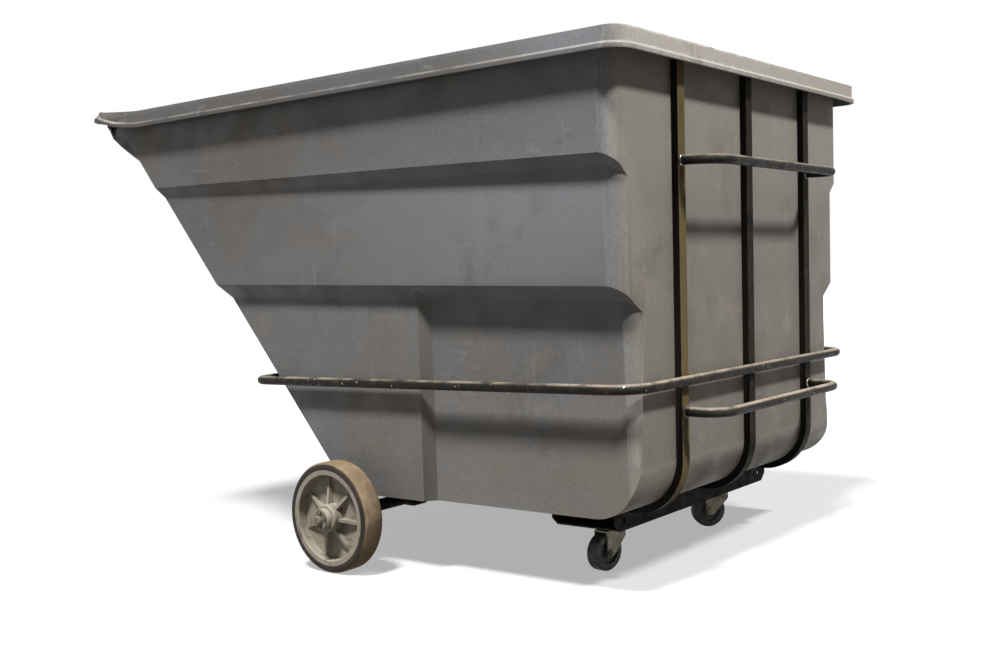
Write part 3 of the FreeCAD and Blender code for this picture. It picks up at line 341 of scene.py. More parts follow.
# warm and cool ground
toNose = ramp(tree, along, *tubLook["toNose"])
warmth = math2(tree, "ADD", times(tree, ramp(tree, up, *tubLook["warmDown"]), tubLook["warmDownShare"]),
               times(tree, toNose, tubLook["toNoseShare"]))
warmth = math2(tree, "ADD", warmth, useGroup(tree, patches, Vector=where, Scale=1.7, Low=0.42, High=0.70))
warmth = math2(tree, "MULTIPLY", warmth, tubLook["warmShare"], clamp=True)
color = blendColor(tree, warmth, tubLook["cool"], tubLook["warm"])
onEnd = times(tree, ramp(tree, toRear, *tubLook["endFacing"]), tubLook["endShare"])
color = blendColor(tree, onEnd, color, tubLook["endWall"])

# lighter and darker stretches of the walls
color = toned(tree, color, times(tree, toNose, ramp(tree, up, *tubLook["noseUp"])), tubLook["noseDim"])
toEnd = ramp(tree, toRear, *tubLook["roundToEnd"])
toSide = math2(tree, "SUBTRACT", 1.0, toEnd)
color = toned(tree, color, times(tree, toSide, ramp(tree, up, *tubLook["lowDown"])), tubLook["lowLift"])
tierTwo = times(tree, ramp(tree, up, *tubLook["tierFoot"]), ramp(tree, up, *tubLook["tierTop"]),
                toSide, ramp(tree, along, *tubLook["tierAlong"]))
color = toned(tree, color, tierTwo, tubLook["tierLift"])
color = toned(tree, color, times(tree, toEnd, ramp(tree, up, *tubLook["endUp"])), tubLook["endLift"])
color = toned(tree, color, times(tree, toEnd, ramp(tree, up, *tubLook["endDown"])), tubLook["endDim"])

# painted shade: the rim darker towards the nose, the bead under its top darker where it faces up, and the
# cheek under the spout darker
overLip = math2(tree, "SUBTRACT", up, times(tree, along, rimLine["lean"]))
overLip = math2(tree, "SUBTRACT", overLip, rimLine["lip"])
onRim = times(tree, ramp(tree, overLip, -tubLook["lipBlur"], tubLook["lipBlur"]),
              ramp(tree, along, *tubLook["rimAlong"]))
color = toned(tree, color, onRim, tubLook["rimPaintedShade"])
# painted shade on the top of the bead, where it faces up
onBead = times(tree, ramp(tree, overLip, *tubLook["beadUnder"]), onRim,
               ramp(tree, toSky, *tubLook["beadFacing"]))
color = toned(tree, color, onBead, tubLook["beadPaintedShade"])
# painted shade on the cheek under the spout, which turns away from the light
past = math2(tree, "ADD", along, times(tree, up, noseCrease["lean"]))
past = math2(tree, "SUBTRACT", noseCrease["x"] + noseCrease["lean"] * noseCrease["z"], past)
cheek = times(tree, ramp(tree, past, *tubLook["cheekPast"]), ramp(tree, toRear, *tubLook["cheekFacing"]),
              ramp(tree, overLip, tubLook["cheekBlur"], 0.0))
color = toned(tree, color, cheek, tubLook["cheekPaintedShade"])

# stains, wipe marks, scuffs and dust
stains = useGroup(tree, patches, Vector=where, Scale=5.0, Detail=6.0, Low=0.54, High=0.78)
color = blendColor(tree, times(tree, stains, tubLook["stainShare"]), color, tubLook["stain"])
wipes = useGroup(tree, scuffs, Vector=where, Stretch=(0.6, 0.6, 1.0), Scale=13.0, Low=0.5, High=0.72)
wipes = times(tree, wipes, ramp(tree, up, *tubLook["wipeDown"]), tubLook["wipeShare"])
color = blendColor(tree, wipes, color, tubLook["wipe"])
marks = useGroup(tree, scuffs, Vector=where, Stretch=(0.25, 1.0, 1.0), Scale=46.0, Low=0.6, High=0.74)
runs = useGroup(tree, scuffs, Vector=where, Stretch=(1.0, 1.0, 0.12), Scale=38.0, Low=0.6, High=0.78)
marks = times(tree, math2(tree, "MAXIMUM", marks, runs), tubLook["scuffShare"])
color = blendColor(tree, marks, color, tubLook["scuff"])
dust = times(tree, useGroup(tree, fallenDust, Vector=where), tubLook["dustShare"])
color = blendColor(tree, dust, color, tubLook["dust"])

# rubbed edges, less on the rim's side and more on its rear end, which is also painted lighter as painted
# light
rubs = math2(tree, "SUBTRACT", tubLook["rubShare"], times(tree, onRim, tubLook["rimRubLess"]))
rubs = times(tree, useGroup(tree, edgeRub, Vector=where, Radius=tubLook["rubRadius"]), rubs)
color = blendColor(tree, rubs, color, tubLook["rubbed"])
# painted light: the rim's rear end lighter, most towards the near corner
onEndRim = times(tree, ramp(tree, toRear, *tubLook["endRimFacing"]),
                 ramp(tree, overLip, 0.0, tubLook["endRimBlur"]),
                 ramp(tree, across, *tubLook["endRimAcross"]))
color = toned(tree, color, onEndRim, tubLook["endRimPaintedLight"])
endWear = times(tree, useGroup(tree, edgeRub, Vector=where, Radius=tubLook["endWornRadius"]), onEndRim,
                tubLook["endWornShare"])
color = blendColor(tree, endWear, color, tubLook["endWorn"])

# painted highlight lines where a rear corner starts to turn, then a fine mottle over all
sideTurnHighlight, endTurn = (times(tree, ramp(tree, toRear, *start), ramp(tree, toRear, *stop))
                     for start, stop in (tubLook["sideTurnHighlight"], tubLook["endTurn"]))
cornerHighlights = math2(tree, "MAXIMUM", sideTurnHighlight, times(tree, endTurn, tubLook["endTurnHighlightShare"]))
broken = ramp(tree, noise(tree, where, scale=9.0, detail=5.0, rough=0.7), low=0.35, high=0.65)
cornerHighlights = times(tree, cornerHighlights, broken, ramp(tree, up, *tubLook["turnUp"]), tubLook["cornerHighlightShare"])
color = blendColor(tree, cornerHighlights, color, tubLook["rubbed"])
mottle = ramp(tree, noise(tree, where, scale=160.0, detail=4.0, rough=0.7), *noiseSpan, *tubLook["mottle"])
color = blendColor(tree, tubLook["mottleShare"], color, blendColor(tree, 1.0, color, mottle, "MULTIPLY"))
feed(tree, shader.inputs["Base Color"], color)
unevenRough(tree, shader, where, scale=12.0, least=0.46, most=0.68)
shader.inputs["Specular IOR Level"].default_value = tubLook["shine"]
skinBump(tree, shader, where, fine=420.0, coarse=5.0, strength=0.35, depth=0.004)

# black paint on the round bars, rubbed brown on top, barer at the rear, and chipped; the light tops are
# partly worn paint and partly a painted highlight
barLook = {
    "paint": (0.0125, 0.0112, 0.0102),
    "grime": (0.030, 0.024, 0.018),
    "grimeShare": 0.7,
    "rubAndHighlight": (0.25, 0.212, 0.158),
    "rubSteep": 0.47,
    "polishedAndHighlight": (0.200, 0.168, 0.126),
    "polishFacing": (0.45, 0.95),
    "polishAlong": (0.60, 0.95),
    "polishUp": (0.9, 0.6, 0.3, 1.0),
    "polishUneven": (0.35, 0.62, 0.15, 1.0),
    "chip": (0.42, 0.36, 0.24),
    "chipMetal": 0.8,
    "shine": 0.08,
}
barPaint, tree, where, shader = startMaterial("barPaint")
place = split(tree, where)
grime = useGroup(tree, patches, Vector=where, Scale=26.0, Low=0.42, High=0.7)
color = blendColor(tree, times(tree, grime, barLook["grimeShare"]), barLook["paint"], barLook["grime"])
# lighter tops: partly worn paint and dust, partly a painted highlight
worn = useGroup(tree, fallenDust, Vector=where, Scale=14.0, Steep=barLook["rubSteep"])
color = blendColor(tree, worn, color, barLook["rubAndHighlight"])
polishAndHighlight = ramp(tree, noise(tree, where, scale=35.0, detail=4.0, rough=0.7), *barLook["polishUneven"])
polishAndHighlight = times(tree, polishAndHighlight, ramp(tree, facingOf(tree)[2], *barLook["polishFacing"]),
               ramp(tree, place[0], *barLook["polishAlong"]), ramp(tree, place[2], *barLook["polishUp"]))
color = blendColor(tree, polishAndHighlight, color, barLook["polishedAndHighlight"])
chips = useGroup(tree, patches, Vector=where, Scale=75.0, Detail=2.0, Low=0.70, High=0.74)
color = blendColor(tree, chips, color, barLook["chip"])
feed(tree, shader.inputs["Base Color"], color)
feed(tree, shader.inputs["Metallic"], times(tree, chips, barLook["chipMetal"]))
unevenRough(tree, shader, where, scale=60.0, least=0.32, most=0.6, detail=3.0)
shader.inputs["Specular IOR Level"].default_value = barLook["shine"]
skinBump(tree, shader, where, fine=700.0, coarse=90.0, strength=0.3, depth=0.0012)

# the flat straps are black, and the near one has rubbed through to brown on its outward face
strapLook = {
    "paint": (0.0090, 0.0080, 0.0072),
    "dusty": (0.017, 0.0135, 0.0105),
    "rubbed": (0.112, 0.082, 0.037),
    "outFacing": (0.55, 0.95),
    "chip": (0.20, 0.165, 0.10),
    "shine": 0.05,
}


def strapFinish(name, worn):
    mat, tree, where, shader = startMaterial(name)
    dusty = times(tree, ramp(tree, facingOf(tree)[0], *strapLook["outFacing"]),
                  useGroup(tree, patches, Vector=where, Scale=6.0, Detail=6.0, Low=0.12, High=0.46))
    color = blendColor(tree, dusty, strapLook["paint"], worn)
    color = edged(tree, where, color, strapLook["chip"], radius=0.0025, share=0.45)
    feed(tree, shader.inputs["Base Color"], color)
    unevenRough(tree, shader, where, scale=40.0, least=0.5, most=0.75)
    shader.inputs["Specular IOR Level"].default_value = strapLook["shine"]
    skinBump(tree, shader, where, fine=600.0, coarse=60.0, strength=0.3, depth=0.0012)
    return mat


strapBlack = strapFinish("strapBlack", strapLook["dusty"])
strapRubbed = strapFinish("strapRubbed", strapLook["rubbed"])

# pale hub plastic
hubLook = {"base": (0.242, 0.212, 0.166), "pale": (0.285, 0.252, 0.198), "dark": (0.085, 0.070, 0.053)}
hubPlastic, tree, where, shader = startMaterial("hubPlastic")
color = patchy(tree, where, hubLook["base"], hubLook["pale"], Scale=16.0, Low=0.4, High=0.7)
color = patchy(tree, where, color, hubLook["dark"], Scale=22.0, Detail=6.0, Low=0.56, High=0.72)
color = edged(tree, where, color, hubLook["pale"], radius=0.002, share=0.5)
feed(tree, shader.inputs["Base Color"], color)
unevenRough(tree, shader, where, scale=50.0, least=0.55, most=0.8)
skinBump(tree, shader, where, fine=900.0, coarse=60.0, strength=0.3, depth=0.001)

# tyre: dark side walls with a fine raised line, dusty tan tread
tyreLook = {
    "side": (0.015, 0.012, 0.0098),
    "sideDust": (0.036, 0.028, 0.022),
    "tread": (0.165, 0.117, 0.069),
    "treadPale": (0.24, 0.178, 0.112),
    "treadFrom": 0.1475,
    "treadBlur": 0.004,
    "lineAt": 0.139,
    "lineHalf": (0.0006, 0.0016),
    "rough": 0.82,
    "shine": 0.25,
}
tyreRubber, tree, where, shader = startMaterial("tyreRubber")
low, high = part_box("near_wheel_tyre")
fromAxle = addNode(tree, "ShaderNodeVectorMath", operation="SUBTRACT")
feed(tree, fromAxle.inputs[0], where)
fromAxle.inputs[1].default_value = (low + high) / 2
flatten = addNode(tree, "ShaderNodeVectorMath", operation="MULTIPLY")
feed(tree, flatten.inputs[0], fromAxle.outputs[0])
flatten.inputs[1].default_value = (1, 0, 1)
reach = addNode(tree, "ShaderNodeVectorMath", operation="LENGTH")
feed(tree, reach.inputs[0], flatten.outputs[0])
radius = reach.outputs["Value"]
uneven = times(tree, noise(tree, where, scale=40.0), tyreLook["treadBlur"])
onTread = ramp(tree, math2(tree, "ADD", radius, uneven),
               tyreLook["treadFrom"], tyreLook["treadFrom"] + tyreLook["treadBlur"])
side = patchy(tree, where, tyreLook["side"], tyreLook["sideDust"],
              Scale=14.0, Detail=6.0, Low=0.36, High=0.66)
tread = patchy(tree, where, tyreLook["tread"], tyreLook["treadPale"],
               Scale=24.0, Detail=6.0, Low=0.42, High=0.7)
feed(tree, shader.inputs["Base Color"], blendColor(tree, onTread, side, tread))
shader.inputs["Roughness"].default_value = tyreLook["rough"]
shader.inputs["Specular IOR Level"].default_value = tyreLook["shine"]
fromLine = math2(tree, "ABSOLUTE", math2(tree, "SUBTRACT", radius, tyreLook["lineAt"]))
ringLine = math2(tree, "SUBTRACT", 1.0, ramp(tree, fromLine, *tyreLook["lineHalf"]))
skinBump(tree, shader, where, fine=800.0, coarse=90.0, strength=0.5, depth=0.0015, raised=ringLine)

# black caster rubber and core, brushed with dust
casterLook = {"black": (0.014, 0.0135, 0.013), "dust": (0.060, 0.052, 0.042)}
casterBlack, tree, where, shader = startMaterial("casterBlack")
color = patchy(tree, where, casterLook["black"], casterLook["dust"],
               Scale=30.0, Detail=6.0, Low=0.5, High=0.8)
feed(tree, shader.inputs["Base Color"], color)
unevenRough(tree, shader, where, scale=80.0, least=0.5, most=0.8)
skinBump(tree, shader, where, fine=900.0, coarse=120.0, strength=0.25, depth=0.0008)

# dull yellowish zinc on the caster forks and plates, and on the bolts and nuts
zincLook = {
    "base": (0.180, 0.170, 0.108),
    "pale": (0.33, 0.32, 0.25),
    "dull": (0.070, 0.062, 0.042),
    "metal": 0.35,
}
zincPlate, tree, where, shader = startMaterial("zincPlate")
color = patchy(tree, where, zincLook["base"], zincLook["pale"], Scale=38.0, Low=0.45, High=0.7)
color = patchy(tree, where, color, zincLook["dull"], Scale=20.0, Detail=6.0, Low=0.52, High=0.7)
feed(tree, shader.inputs["Base Color"], color)
unevenRough(tree, shader, where, scale=60.0, least=0.4, most=0.65)
shader.inputs["Metallic"].default_value = zincLook["metal"]
skinBump(tree, shader, where, fine=900.0, coarse=150.0, strength=0.25, depth=0.0006)

# bare steel with brown rust, which is rougher and less of a metal
steelLook = {
    "bare": (0.20, 0.180, 0.145),
    "rust": (0.120, 0.086, 0.054),
    "dark": (0.045, 0.036, 0.028),
    "metal": 0.7,
    "metalLost": 0.6,
    "rough": (0.42, 0.8),
}
rustySteel, tree, where, shader = startMaterial("rustySteel")
rust = useGroup(tree, patches, Vector=where, Scale=45.0, Detail=6.0, Low=0.38, High=0.6)
color = blendColor(tree, rust, steelLook["bare"], steelLook["rust"])
color = patchy(tree, where, color, steelLook["dark"], Scale=90.0, Low=0.55, High=0.7)
feed(tree, shader.inputs["Base Color"], color)
metal = math2(tree, "SUBTRACT", steelLook["metal"], times(tree, rust, steelLook["metalLost"]))
feed(tree, shader.inputs["Metallic"], metal)
feed(tree, shader.inputs["Roughness"], ramp(tree, rust, 0.0, 1.0, *steelLook["rough"]))
skinBump(tree, shader, where, fine=1200.0, coarse=200.0, strength=0.3, depth=0.0006)

# weld beads, dark with bright places
weldLook = {"dark": (0.020, 0.017, 0.014), "bright": (0.27, 0.25, 0.22), "metal": 0.9, "rough": (0.6, 0.3)}
weldSteel, tree, where, shader = startMaterial("weldSteel")
bare = useGroup(tree, patches, Vector=where, Scale=60.0, Detail=3.0, Low=0.50, High=0.62)
feed(tree, shader.inputs["Base Color"], blendColor(tree, bare, weldLook["dark"], weldLook["bright"]))
feed(tree, shader.inputs["Metallic"], times(tree, bare, weldLook["metal"]))
feed(tree, shader.inputs["Roughness"], ramp(tree, bare, 0.0, 1.0, *weldLook["rough"]))
skinBump(tree, shader, where, fine=500.0, coarse=120.0, strength=0.4, depth=0.001)

print("materials ready")

# tub: the CAD shell with softened mould edges, larger rear corners, its rim band stood upright
# and the nose curled into a pouring lip
tubShape = {
    "mergeGap": 0.00002,
    "flatAngle": 0.5,
    "bentAngle": 1.0,
    "edgeRadius": 0.006,
    "edgeSteps": 3,
    "edgeAngle": 24.0,
    "smoothAngle": 30.0,
    "near": 0.001,  # how far a picked point may lie outside its stretch
    # end wall and rear corners
    "wallAtLip": 0.96633,
    "wallDraft": 0.0139635,
    "wallThick": 0.008,
    "wallFit": 0.0008,
    "wallSpan": (0.3, 1.4),
    "tiers": ({"foot": 1.0893, "top": 1.4, "half": 0.620, "lean": 0.0094},
              {"foot": 0.7751, "top": 1.0893, "half": 0.588, "lean": 0.0},
              {"foot": 0.19, "top": 0.7751, "half": 0.534, "lean": 0.0}),
    "tierFit": 0.004,
    "leanFrom": 1.0263,
    "ledges": ({"foot": 1.0593, "brow": 1.0893, "depth": 0.043},
               {"foot": 0.7351, "brow": 0.7751, "depth": 0.054}),
    "ledgeFit": 0.003,
    "ledgeFade": 0.13,
    "cornerZone": (0.85, 0.46),
    "cornerWas": 0.022,
    "cornerNow": 0.048,
    "cornerFoot": 0.335,
    "cornerGrow": 0.13,
    "leastGrow": 0.01,
    "flatShare": 0.1745,  # the part of the turn, in radians, that a flat strip beside the old round takes
    "flatFit": 0.0015,
    "stripFit": 0.0005,
    "arcFit": 0.003,
    "reachFit": 0.0002,
    "endTurn": 0.05,
    # rim
    "rimHalf": 0.6504,
    "rimWiden": 0.00936,
    "bandThick": 0.03,
    "bandRear": 0.98,
    "bandNose": -1.0795,
    "bandNoseCorner": (-1.0, 1.66),
    "bandOut": 0.007,
    "pushRear": 0.9,
    "plateDeep": 0.012,
    "lipDeep": (0.025, 0.056),
    # nose
    "noseCuts": (-0.84, -0.90, -0.96, -1.02),
    "noseCorner": 0.56,
    "noseFrom": -0.88,
    "cheekSteps": 20,
    "cheekStep": 0.005,
    "cheekSpread": 1.0045,
    "cheekReach": (-0.0006, 0, 0.0009),
    "spoutFrom": -1.03,
    "spoutSpan": (1.26, 1.295),
    "spoutReach": (-0.010, 0, 0.020),
    "lipLift": ((-0.82, 0.002), (-0.88, 0.005), (-0.94, 0.008), (-1.0, 0.015), (-1.04, 0.011)),
    "topLift": ((-0.88, 0.004), (-0.94, 0.005), (-1.0, 0.005), (-1.04, 0.003)),
    "topBack": (-1.05, 0.022),
}
wallX, wallZ = tubShape["wallAtLip"], rimLine["lip"]
wallDraft, wallThick = tubShape["wallDraft"], tubShape["wallThick"]
cornerWas, cornerNow = tubShape["cornerWas"], tubShape["cornerNow"]


def held(value):  # between nought and one
    return min(max(value, 0), 1)


def endAt(z):  # where the end wall stands at a height
    return min(wallX, wallX - (wallZ - z) * wallDraft)


def onEndWall(co, low, high):  # on either face of the end wall, between two heights
    gap = endAt(co.z) - co.x
    onFace = min(abs(gap), abs(gap - wallThick)) < tubShape["wallFit"]
    return onFace and low - tubShape["near"] < co.z < high + tubShape["near"]


# angle on the new round for a point that lies this far in from the end and the side
def newTurn(inEnd, inSide, was, now):
    share, strip = tubShape["flatShare"], was - tubShape["stripFit"]
    if min(inEnd, inSide) < -tubShape["arcFit"] or max(inEnd, inSide) > now + tubShape["reachFit"]:
        return None
    if abs(inSide) < tubShape["flatFit"] and inEnd >= strip:
        return share * (now - inEnd) / (now - was)
    if abs(inEnd) < tubShape["flatFit"] and inSide >= strip:
        return math.pi / 2 - share * (now - inSide) / (now - was)
    offRound = abs(math.hypot(inEnd - was, inSide - was) - was)
    if max(inEnd, inSide) <= was + tubShape["near"] and offRound < tubShape["arcFit"]:
        return share + (1 - 4 * share / math.pi) * math.atan2(was - inEnd, was - inSide)
    return None


def rounderCorner(co):  # slides a point of a rear corner on to the larger radius that the photo shows
    fit = tubShape["ledgeFit"]
    if any(ledge["foot"] + fit < co.z < ledge["brow"] - fit for ledge in tubShape["ledges"]):
        return co
    grow = held((co.z - tubShape["cornerFoot"]) / tubShape["cornerGrow"])
    if grow < tubShape["leastGrow"]:
        return co
    tier = next(tier for tier in tubShape["tiers"] if tier["foot"] - tubShape["tierFit"] < co.z)
    toEnd = endAt(co.z) - co.x
    toSide = tier["half"] - (tubShape["leanFrom"] - co.x) * tier["lean"] - abs(co.y)
    for skin in (0.0, wallThick):
        inEnd, inSide, was = toEnd - skin, toSide - skin, cornerWas - skin
        now = was + (cornerNow - cornerWas) * grow
        turn = newTurn(inEnd, inSide, was, now)
        if turn is None:
            continue
        newEnd, newSide = now - now * math.sin(turn), now - now * math.cos(turn)
        z = co.z
        for ledge in tubShape["ledges"]:  # a ledge runs down to a point round the corner
            if co.z < ledge["brow"] + fit and turn < math.pi / 2 - tubShape["endTurn"]:
                slope = (ledge["brow"] - ledge["foot"]) / ledge["depth"]
                z -= slope * newSide * held((co.z - ledge["foot"]) / tubShape["ledgeFade"] + 1)
        return Vector((co.x + inEnd - newEnd, math.copysign(abs(co.y) + inSide - newSide, co.y), z))
    return co


def belowRim(co):
    return rimLine["top"] + rimLine["lean"] * co.x - co.z


def onBand(co):  # the outer band of the rim, with the outer edge of its top
    half = tubShape["rimHalf"] + tubShape["rimWiden"] * co.x
    cornerX, cornerSum = tubShape["bandNoseCorner"]
    atNose = co.x < tubShape["bandNose"] or (co.x < cornerX and abs(co.x) + abs(co.y) > cornerSum)
    return abs(co.y) > half - tubShape["bandThick"] or co.x > tubShape["bandRear"] or atNose


def pastCrease(co):  # how far a point lies in front of the side wall's front crease
    return noseCrease["x"] - co.x - noseCrease["lean"] * (co.z - noseCrease["z"])


def partBent(piece):  # splits the faces that a move has bent
    openEdit(piece)
    bpy.ops.mesh.vert_connect_nonplanar(angle_limit=math.radians(tubShape["bentAngle"]))
    closeEdit()


tub = copyOfNode("hopper_tub", "tub_shell")
openEdit(tub)
bpy.ops.mesh.customdata_custom_splitnormals_clear()
bpy.ops.mesh.remove_doubles(threshold=tubShape["mergeGap"])
bpy.ops.mesh.dissolve_limited(angle_limit=math.radians(tubShape["flatAngle"]))
for cut in tubShape["noseCuts"]:
    bpy.ops.mesh.select_all(action="SELECT")
    bpy.ops.mesh.bisect(plane_co=(cut, 0, 0), plane_no=(1, 0, 0))
closeEdit()
noseFront = tubShape["noseCuts"][-1] + tubShape["near"]
for sign in (-1, 1):  # parts the nose's corners from its straight front
    pickVerts(tub, lambda v: v.co.x < noseFront)
    bpy.ops.mesh.bisect(plane_co=(0, sign * tubShape["noseCorner"], 0), plane_no=(0, 1, 0))
    closeEdit()

# rear corners: cut where the larger round will start, then slid on to it
openEdit(tub)
bpy.ops.mesh.bisect(plane_co=(wallX - cornerNow, 0, wallZ), plane_no=(1, 0, -wallDraft))
closeEdit()
for ledge in tubShape["ledges"]:
    for cut in (ledge["foot"], ledge["brow"]):
        pickVerts(tub, lambda v: onEndWall(v.co, *tubShape["wallSpan"]))
        bpy.ops.mesh.bisect(plane_co=(endAt(cut), 0, cut), plane_no=(0, 0, 1))
        closeEdit()
for tier in tubShape["tiers"]:
    for sign in (-1, 1):
        pickVerts(tub, lambda v: onEndWall(v.co, tier["foot"], tier["top"]))
        bpy.ops.mesh.bisect(plane_co=(0, sign * (tier["half"] - cornerNow), 0), plane_no=(0, 1, 0))
        closeEdit()
zoneX, zoneY = tubShape["cornerZone"]
for v in tub.data.vertices:
    if v.co.x > zoneX and abs(v.co.y) > zoneY:
        v.co = rounderCorner(v.co)
partBent(tub)

# rim band stood upright
lowest, deepest = tubShape["lipDeep"]
lip = {v.index for v in tub.data.vertices if onBand(v.co) and lowest < belowRim(v.co) < deepest}
top = {v.index for v in tub.data.vertices if belowRim(v.co) < tubShape["plateDeep"]}
topEdge = {v.index for v in tub.data.vertices if v.index in top and onBand(v.co)}
push = tubShape["bandOut"]
nudge(tub, lambda v: v.index in topEdge and v.co.y < 0, (0, -push, 0))
nudge(tub, lambda v: v.index in topEdge and v.co.y > 0, (0, push, 0))
nudge(tub, lambda v: v.index in topEdge and v.co.x > tubShape["pushRear"], (push, 0, 0))

# nose: cheeks drawn out more with every step past the crease, then the lip and the top curled up
inside = {v.index: pastCrease(v.co) for v in tub.data.vertices
          if v.co.x < tubShape["noseFrom"] and v.index not in lip | topEdge}
spoutLow, spoutHigh = tubShape["spoutSpan"]
spoutEdge = {v.index for v in tub.data.vertices
             if v.index in inside and v.co.x < tubShape["spoutFrom"] and spoutLow < v.co.z < spoutHigh}
for step in range(1, tubShape["cheekSteps"] + 1):
    pickVerts(tub, lambda v: inside.get(v.index, 0) > step * tubShape["cheekStep"])
    bpy.ops.transform.resize(value=(1, tubShape["cheekSpread"], 1), center_override=(0, 0, 0))
    bpy.ops.transform.translate(value=tubShape["cheekReach"])
    closeEdit()
nudge(tub, lambda v: v.index in spoutEdge, tubShape["spoutReach"])
for stop, lift in tubShape["lipLift"]:
    nudge(tub, lambda v: v.index in lip and v.co.x < stop, (0, 0, lift))
for stop, lift in tubShape["topLift"]:
    nudge(tub, lambda v: v.index in top and v.co.x < stop, (0, 0, lift))
stop, back = tubShape["topBack"]
nudge(tub, lambda v: v.index in top and v.co.x < stop, (back, 0, 0))
partBent(tub)

bakeIn(tub, "softEdges", "BEVEL", width=tubShape["edgeRadius"], segments=tubShape["edgeSteps"],
       limit_method="ANGLE", angle_limit=math.radians(tubShape["edgeAngle"]),
       miter_outer="MITER_ARC", use_clamp_overlap=True)
pickOnly(tub)
bpy.ops.object.shade_smooth_by_angle(angle=math.radians(tubShape["smoothAngle"]))
tub.data.materials.append(tubPlastic)
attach(tub, "chassis")
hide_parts("hopper_tub")
print("tub made:", len(tub.data.polygons), "faces")

# beads where the handles are welded to the straps: one lumpy ring, copied to the four bar ends
weldShape = {
    "barRadius": 0.0127,
    "round": 0.0128,
    "roundSteps": 22,
    "bead": 0.0042,
    "beadSteps": 8,
    "lumps": 0.0016,
    "seed": 7,
    "stand": 0.002,
    "smoothLevels": 1,
}
weldSpots = []
for handle in ("push_handle", "lower_handle"):
    low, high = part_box(handle)
    for y in (low.y + weldShape["barRadius"], high.y - weldShape["barRadius"]):
        weldSpots.append(Vector((low.x + weldShape["stand"], y, (low.z + high.z) / 2)))
deselectAll()
bpy.ops.mesh.primitive_torus_add(major_radius=weldShape["round"], major_segments=weldShape["roundSteps"],
                                 minor_radius=weldShape["bead"], minor_segments=weldShape["beadSteps"],
                                 rotation=(0, math.pi / 2, 0))
welds = bpy.context.object
welds.name = welds.data.name = "handle_welds"
bpy.ops.object.transform_apply(location=True, rotation=True, scale=True)
openEdit(welds)
bpy.ops.transform.vertex_random(offset=weldShape["lumps"], seed=weldShape["seed"])
bpy.ops.transform.translate(value=weldSpots[0])
for last, spot in zip(weldSpots, weldSpots[1:]):
    bpy.ops.mesh.duplicate()
    bpy.ops.transform.translate(value=spot - last)
closeEdit()
bakeIn(welds, "softBeads", "SUBSURF",
       levels=weldShape["smoothLevels"], render_levels=weldShape["smoothLevels"])
pickOnly(welds)
bpy.ops.object.shade_smooth()
welds.data.materials.append(weldSteel)
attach(welds, "chassis")
print("welds made:", len(weldSpots))

# finishes of the CAD nodes that stay as they are: the first whose words are in a node's name
finishes = [
    (strapRubbed, ("near_strap",)),
    (strapBlack, ("strap", "crossmember", "saddle", "spacer")),
    (barPaint, ("bumper_ring", "handle")),
    (hubPlastic, ("wheel_hub",)),
    (tyreRubber, ("wheel_tyre",)),
    (casterBlack, ("caster_wheel", "caster_tread")),
    (zincPlate, ("caster_fork", "caster_plate", "caster_race", "floor_bolts", "floor_nuts", "caster_bolts",
                 "caster_nuts", "caster_axle_bolt", "caster_axle_nut")),
    (rustySteel, ("axle", "washers", "cotter_pin", "bush", "kingpin", "sleeve")),
]
for name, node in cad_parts.items():
    if name == "hopper_tub":
        continue
    for finish, words in finishes:
        if any(word in name for word in words):
            node.data.materials.clear()
            node.data.materials.append(finish)
            break
    else:
        print("no finish for", name)
print("finishes set")

# floor, light and camera
stageLook = {
    "floorSize": 60.0,
    "floorSeen": (0.54, 0.54, 0.54),
    "floorBounce": (0.06, 0.057, 0.054),
    "floorGlow": 0.42,
    "ambient": (0.10, 0.10, 0.10),
    "backdrop": (1.0, 1.0, 1.0),
    "overhead": {"source": (0.10, -0.42, 1.0), "power": 6.2, "softness": 9.0},
    "side": {"source": (0.76, 0.04, 1.0), "power": 4.25, "softness": 6.5},
    "lampAway": 4.0,
}


def seenBy(tree):  # the camera, a reflection or a view through glass
    path = addNode(tree, "ShaderNodeLightPath").outputs
    throughGlass = math2(tree, "MAXIMUM", path["Is Glossy Ray"], path["Is Transmission Ray"])
    return math2(tree, "MAXIMUM", path["Is Camera Ray"], throughGlass)


def diffuse(tree, color):
    node = addNode(tree, "ShaderNodeBsdfDiffuse")
    node.inputs["Color"].default_value = (*color, 1)
    return node.outputs[0]


def mixShaders(tree, share, a, b):
    node = addNode(tree, "ShaderNodeMixShader")
    feed(tree, node.inputs[0], share)
    tree.links.new(a, node.inputs[1])
    tree.links.new(b, node.inputs[2])
    return node.outputs[0]


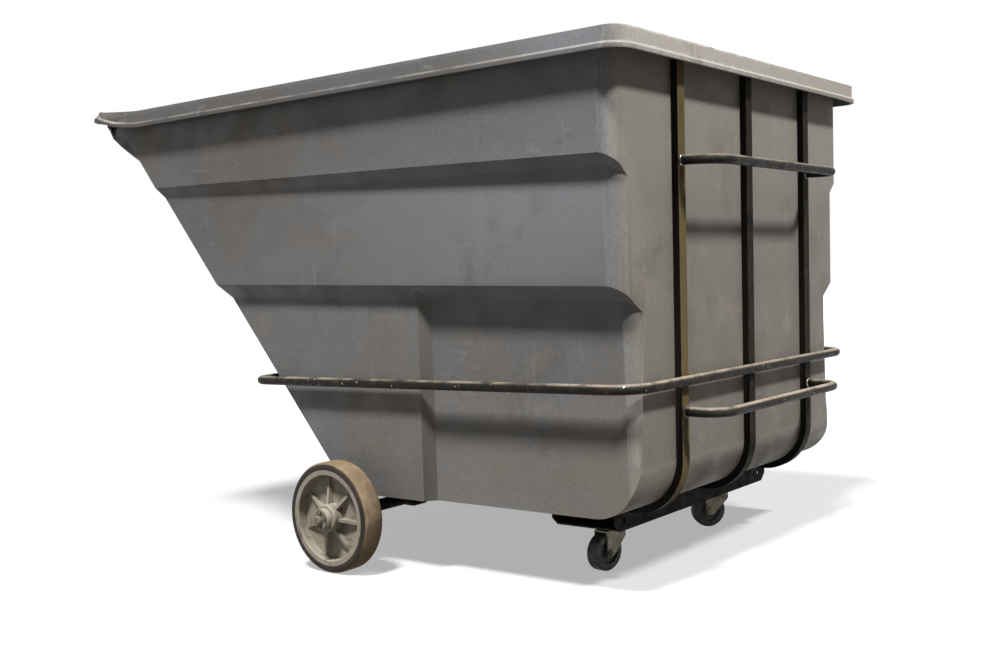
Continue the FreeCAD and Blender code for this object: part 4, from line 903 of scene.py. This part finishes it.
deselectAll()
bpy.ops.mesh.primitive_plane_add(size=stageLook["floorSize"], location=(0, 0, 0))
floor = bpy.context.object
floor.name = "floor"
floorPale = bpy.data.materials.new("floorPale")
floorPale.use_nodes = True
tree = floorPale.node_tree
tree.nodes.remove(tree.nodes["Principled BSDF"])
glow = addNode(tree, "ShaderNodeEmission").outputs[0]  # keeps the seen floor white and its shadow light
pale = mixShaders(tree, stageLook["floorGlow"], diffuse(tree, stageLook["floorSeen"]), glow)
surface = mixShaders(tree, seenBy(tree), diffuse(tree, stageLook["floorBounce"]), pale)
tree.links.new(surface, tree.nodes["Material Output"].inputs["Surface"])
floor.data.materials.append(floorPale)

world = bpy.data.worlds.new("studio")
bpy.context.scene.world = world
world.use_nodes = True
tree = world.node_tree
sky = blendColor(tree, seenBy(tree), stageLook["ambient"], stageLook["backdrop"])
feed(tree, tree.nodes["Background"].inputs["Color"], sky)
tree.nodes["Background"].inputs["Strength"].default_value = 1.0

for name in ("overhead", "side"):
    source = Vector(stageLook[name]["source"])
    deselectAll()
    bpy.ops.object.light_add(type="SUN", location=source * stageLook["lampAway"])
    lamp = bpy.context.object
    lamp.name = name
    lamp.rotation_euler = source.to_track_quat("Z", "Y").to_euler()
    lamp.data.energy = stageLook[name]["power"]
    lamp.data.angle = math.radians(stageLook[name]["softness"])

cameraLook = {
    "place": (2.54206, -2.76815, 0.83251),
    "yaw": 58.566,
    "pitch": 2.226,
    "roll": -1.5105,
    "sensor": 36.0,
    "lens": 41.246,
    "shift": (-0.21204, -0.02917),
    "farClip": 200.0,
}
yaw, pitch = math.radians(cameraLook["yaw"]), math.radians(cameraLook["pitch"])
ahead = Vector((-math.cos(yaw) * math.cos(pitch), math.sin(yaw) * math.cos(pitch), -math.sin(pitch)))
level = ahead.to_track_quat("-Z", "Y").to_matrix()
deselectAll()
bpy.ops.object.camera_add(location=cameraLook["place"])
camera = bpy.context.object
camera.rotation_euler = (level @ Matrix.Rotation(math.radians(cameraLook["roll"]), 3, "Z")).to_euler()
camera.data.sensor_width = cameraLook["sensor"]
camera.data.lens = cameraLook["lens"]
camera.data.shift_x, camera.data.shift_y = cameraLook["shift"]
camera.data.clip_end = cameraLook["farClip"]
bpy.context.scene.camera = camera
bpy.context.scene.view_settings.view_transform = "Standard"
print("stage set")
